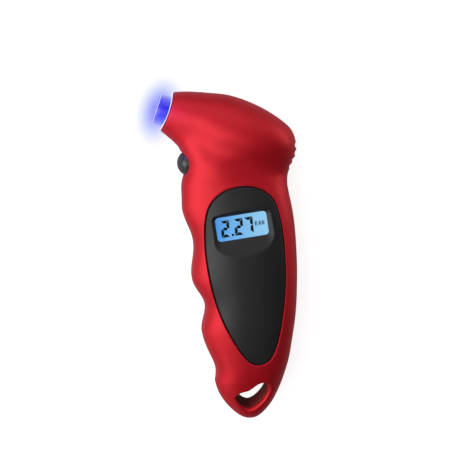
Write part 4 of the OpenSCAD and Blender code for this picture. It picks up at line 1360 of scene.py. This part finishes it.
RED = plastic("red_satin", (0.74, 0.007, 0.021), (0.68, 0.005, 0.017), 0.54, 0.05, 5200.0,
              metallic=0.55, spread=0.05, coat=0.25, coat_rough=0.42, spec=0.35,
              sheen=0.14, sheen_rough=0.38, sheen_tint=(1.0, 0.72, 0.80))
# Darker, duller red for the strap hole's wall: painted shade inside the hole.
STRAP_WALL_PAINTED_SHADE = plastic("strap_wall_painted_shade", (0.36, 0.042, 0.036), (0.30, 0.034, 0.030), 0.55, 0.06, 2600.0, spread=0.05, spec=0.25)
CHARCOAL = plastic("charcoal_satin", (0.020, 0.019, 0.020), (0.016, 0.015, 0.016), 0.45, 0.14, 5200.0, spread=0.06, spec=0.47)
BUTTON = plastic("button_satin", (0.026, 0.028, 0.030), (0.020, 0.022, 0.024), 0.34, 0.10, 4200.0, spread=0.06, coat=0.5, coat_rough=0.30)
FIGURES = plastic("lcd_dark_segments", (0.004, 0.005, 0.010), (0.002, 0.003, 0.006), 0.4, 0.02, 3000.0)
UNIT = plastic("lcd_grey_mark", (0.004, 0.008, 0.016), (0.003, 0.006, 0.012), 0.4, 0.02, 3000.0)
WHITE = plastic("white_moulding", (0.72, 0.72, 0.69), (0.64, 0.64, 0.61), 0.5, 0.06, 2600.0)
DARK = plastic("dark_moulding", (0.020, 0.020, 0.022), (0.012, 0.012, 0.014), 0.5, 0.08, 3200.0)
EPOXY = plastic("cured_resin", (0.006, 0.006, 0.006), (0.003, 0.003, 0.003), 0.16, 0.12, 420.0)
RUBBER = plastic("black_rubber", (0.014, 0.014, 0.014), (0.008, 0.008, 0.008), 0.72, 0.16, 2400.0)
SILICONE = plastic("milky_silicone", (0.66, 0.66, 0.63), (0.56, 0.56, 0.53), 0.45, 0.05, 1200.0)
CERAMIC = plastic("ceramic_parts", (0.42, 0.30, 0.17), (0.30, 0.20, 0.11), 0.4, 0.08, 900.0)
RED_WIRE = plastic("red_insulation", (0.42, 0.015, 0.012), (0.34, 0.010, 0.008), 0.35, 0.05, 1800.0)
BLACK_WIRE = plastic("black_insulation", (0.014, 0.014, 0.014), (0.008, 0.008, 0.008), 0.35, 0.05, 1800.0)
STEEL = metal("plated_steel", (0.62, 0.62, 0.63), (0.46, 0.46, 0.48), 0.28)
SPRING = metal("nickel_plate", (0.66, 0.63, 0.56), (0.52, 0.49, 0.43), 0.24)
CELLS = metal("cell_can", (0.70, 0.70, 0.71), (0.56, 0.56, 0.58), 0.20, (1.0, 14.0, 1.0), 700.0)
BRASS = metal("turned_brass", (0.66, 0.45, 0.16), (0.52, 0.34, 0.11), 0.25)
GLASS = clear("window_clear", (1.0, 1.0, 1.0), 0.02, 1.0, spec=0.25)
GUIDE = clear("guide_clear", (0.86, 0.94, 1.0), 0.10, 0.85)
LED = clear("led_lens", (1.0, 0.97, 0.86), 0.15, 0.6)
LCD = lcd_lit()
NOZZLE = nozzle_lit()
FLANGE_PAINTED_HIGHLIGHT = flange_painted_highlight()
# Dark band at the mouth's edge: painted shade in the gap.
MOUTH_GAP_PAINTED_SHADE = plastic("mouth_gap_painted_shade", (0.050, 0.003, 0.030), (0.036, 0.002, 0.022), 0.6, 0.05, 3000.0, spec=0.2)
BOARD = board()
ZEBRA = striped("zebra_layers", (0.50, 0.16, 0.20), (0.03, 0.03, 0.03), 900.0, 0.6)

for name, mat in (
        ("display_window", GLASS), ("lcd_glass", LCD), ("light_guide", GUIDE), ("lcd_holder", WHITE), ("zebra_strip", ZEBRA),
        ("main_board", BOARD), ("controller_cap", EPOXY), ("board_parts", CERAMIC), ("backlight_led", LED), ("pressure_sensor", WHITE),
        ("air_tube", SILICONE), ("side_switch", DARK), ("switch_plunger", WHITE), ("valve_seal", RUBBER), ("inlet_stem", BRASS),
        ("retaining_ring", STEEL), ("led_board", BOARD), ("nozzle_leds", LED), ("led_wires", RED_WIRE), ("cover_screw", STEEL),
        ("button_cells", CELLS), ("contact_spring", SPRING), ("contact_plate", SPRING), ("battery_wires", BLACK_WIRE),
        ("shell_screws", STEEL), ("board_screws", STEEL)):
    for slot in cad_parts[name].material_slots:
        slot.material = mat

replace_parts(shell(1, "front_shell_skin", [RED, STRAP_WALL_PAINTED_SHADE]), "front_shell")
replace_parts(shell(-1, "rear_shell_skin", [RED, STRAP_WALL_PAINTED_SHADE]), "rear_shell")
front_panel(CHARCOAL)
reading(FIGURES, UNIT)
button(BUTTON)
nozzle(NOZZLE)
mouth_ring([FLANGE_PAINTED_HIGHLIGHT, MOUTH_GAP_PAINTED_SHADE])
battery_cover(CHARCOAL)

# -------------------------------------------------------------------------- stage
scene = bpy.context.scene
floor_mesh = bpy.data.meshes.new("floor")
LOW = -0.0001             # a hair under the flat back, so that the two never lie in one plane
floor_mesh.from_pydata([(-3, -3, LOW), (3, -3, LOW), (3, 3, LOW), (-3, 3, LOW)], [], [(0, 1, 2, 3)])
floor_obj = bpy.data.objects.new("floor", floor_mesh)
scene.collection.objects.link(floor_obj)
floor_mat, nt, p = new_mat("floor_paper")
p.inputs["Base Color"].default_value = (0.5, 0.5, 0.5, 1)
p.inputs["Roughness"].default_value = 0.9
p.inputs["Emission Color"].default_value = (1, 1, 1, 1)
# The paper shows white, but throws only part of that light back onto the object.
path = node(nt, "ShaderNodeLightPath")
shown = node(nt, "ShaderNodeMath", operation="MULTIPLY")
shown.inputs[1].default_value = 0.85
nt.links.new(path.outputs["Is Camera Ray"], shown.inputs[0])
nt.links.new(shown.outputs["Value"], p.inputs["Emission Strength"])
# Blue light from the nozzle on the paper beside it.
glow_tc = node(nt, "ShaderNodeTexCoord")
glow_map = node(nt, "ShaderNodeMapping", vector_type="TEXTURE")
glow_map.inputs["Location"].default_value = (*row_frame((-29.0, 59.0, 0))[:2], 0.0)
glow_map.inputs["Rotation"].default_value = (0.0, 0.0, math.radians(153.0))
glow_map.inputs["Scale"].default_value = (0.62, 1.0, 1.0)
nt.links.new(glow_tc.outputs["Object"], glow_map.inputs["Vector"])
glow_at = node(nt, "ShaderNodeVectorMath", operation="LENGTH")
nt.links.new(glow_map.outputs["Vector"], glow_at.inputs[0])
glow_mr = node(nt, "ShaderNodeMapRange")
glow_mr.inputs["From Max"].default_value = 0.026
nt.links.new(glow_at.outputs["Value"], glow_mr.inputs["Value"])
glow = ramp(nt, [(0.0, (0.16, 0.17, 0.74)), (0.19, (0.27, 0.285, 0.76)), (0.35, (0.43, 0.475, 0.77)), (0.50, (0.635, 0.67, 0.78)),
                 (0.60, (0.745, 0.76, 0.80)), (0.70, (0.85, 0.85, 0.86)), (1.0, (1.0, 1.0, 1.0))])
nt.links.new(glow_mr.outputs["Result"], glow.inputs["Fac"])
nt.links.new(glow.outputs["Color"], p.inputs["Emission Color"])
tint = node(nt, "ShaderNodeMix", data_type="RGBA", blend_type="MULTIPLY")
tint.inputs["Factor"].default_value = 1.0
tint.inputs[6].default_value = (0.5, 0.5, 0.5, 1.0)
nt.links.new(glow.outputs["Color"], tint.inputs[7])
nt.links.new(tint.outputs[2], p.inputs["Base Color"])
floor_mesh.materials.append(floor_mat)

world = bpy.data.worlds.new("studio")
scene.world = world
world.use_nodes = True
wt = world.node_tree
bg = wt.nodes["Background"]
sky = node(wt, "ShaderNodeTexCoord")
toward = node(wt, "ShaderNodeVectorMath", operation="DOT_PRODUCT")
toward.inputs[1].default_value = Vector((-0.62, 0.06, 0.78)).normalized()
wt.links.new(sky.outputs["Generated"], toward.inputs[0])
fade = node(wt, "ShaderNodeMapRange")
for key, val in (("From Min", -0.6), ("From Max", 1.0), ("To Min", 0.06), ("To Max", 0.46)):
    fade.inputs[key].default_value = val
wt.links.new(toward.outputs["Value"], fade.inputs["Value"])
wt.links.new(fade.outputs["Result"], bg.inputs["Strength"])
# Beyond the paper's edge the room shows as pale as the paper, without adding light.
backdrop = node(wt, "ShaderNodeBackground")
backdrop.inputs["Color"].default_value = (0.85, 0.85, 0.85, 1)
seen = node(wt, "ShaderNodeLightPath")
either = node(wt, "ShaderNodeMixShader")
wt.links.new(seen.outputs["Is Camera Ray"], either.inputs[0])
wt.links.new(bg.outputs["Background"], either.inputs[1])
wt.links.new(backdrop.outputs["Background"], either.inputs[2])
wt.links.new(either.outputs["Shader"], wt.nodes["World Output"].inputs["Surface"])


def area(name, at, look, size, power, color=(1, 1, 1)):
    d = bpy.data.lights.new(name, "AREA")
    d.shape = "RECTANGLE"
    d.size, d.size_y = size
    d.energy = power
    d.color = color
    o = bpy.data.objects.new(name, d)
    o.location = at
    o.rotation_euler = (Vector(look) - Vector(at)).to_track_quat("-Z", "Y").to_euler()
    scene.collection.objects.link(o)
    return o


area("key_left", (-0.44, 0.06, 0.44), (0, -0.01, 0.02), (0.5, 0.9), 3.7)
area("fill_low", (-0.24, -0.22, 0.15), (0.0, -0.06, 0.02), (0.06, 0.12), 0.08)
area("top_soft", (0.04, 0.46, 0.34), (0, 0.03, 0.02), (0.6, 0.35), 0.75)
area("rim_right", (0.45, 0.16, 0.10), (0, 0.02, 0.02), (0.4, 0.10), 0.5)

glow_lamp = bpy.data.lights.new("nozzle_glow", "POINT")
glow_lamp.energy = 0.015
glow_lamp.color = (0.16, 0.14, 1.0)
glow_lamp.shadow_soft_size = 0.012
glow_obj = bpy.data.objects.new("nozzle_glow", glow_lamp)
glow_obj.location = row_frame((-33.0, 61.0, 17.0))
scene.collection.objects.link(glow_obj)

cam_data = bpy.data.cameras.new("camera")
cam = bpy.data.objects.new("camera", cam_data)
scene.collection.objects.link(cam)
eye = Vector(row_frame((-44.0, 57.0, 500.0)))
aim = Vector(row_frame((-7.55, -1.67, 12.2)))
roll = math.radians(8.7)
fwd = (aim - eye).normalized()
right = fwd.cross(Vector((math.sin(roll), math.cos(roll), 0))).normalized()
up = right.cross(fwd)
cam.matrix_world = Matrix(((right.x, up.x, -fwd.x, eye.x), (right.y, up.y, -fwd.y, eye.y),
                           (right.z, up.z, -fwd.z, eye.z), (0, 0, 0, 1)))
cam_data.sensor_fit = "VERTICAL"
cam_data.sensor_height = 24.0
cam_data.lens = 24.0 / (2 * math.tan(math.radians(24.7) / 2))
cam_data.clip_start = 0.01
cam_data.clip_end = 20
scene.camera = cam
scene.view_settings.view_transform = "Standard"
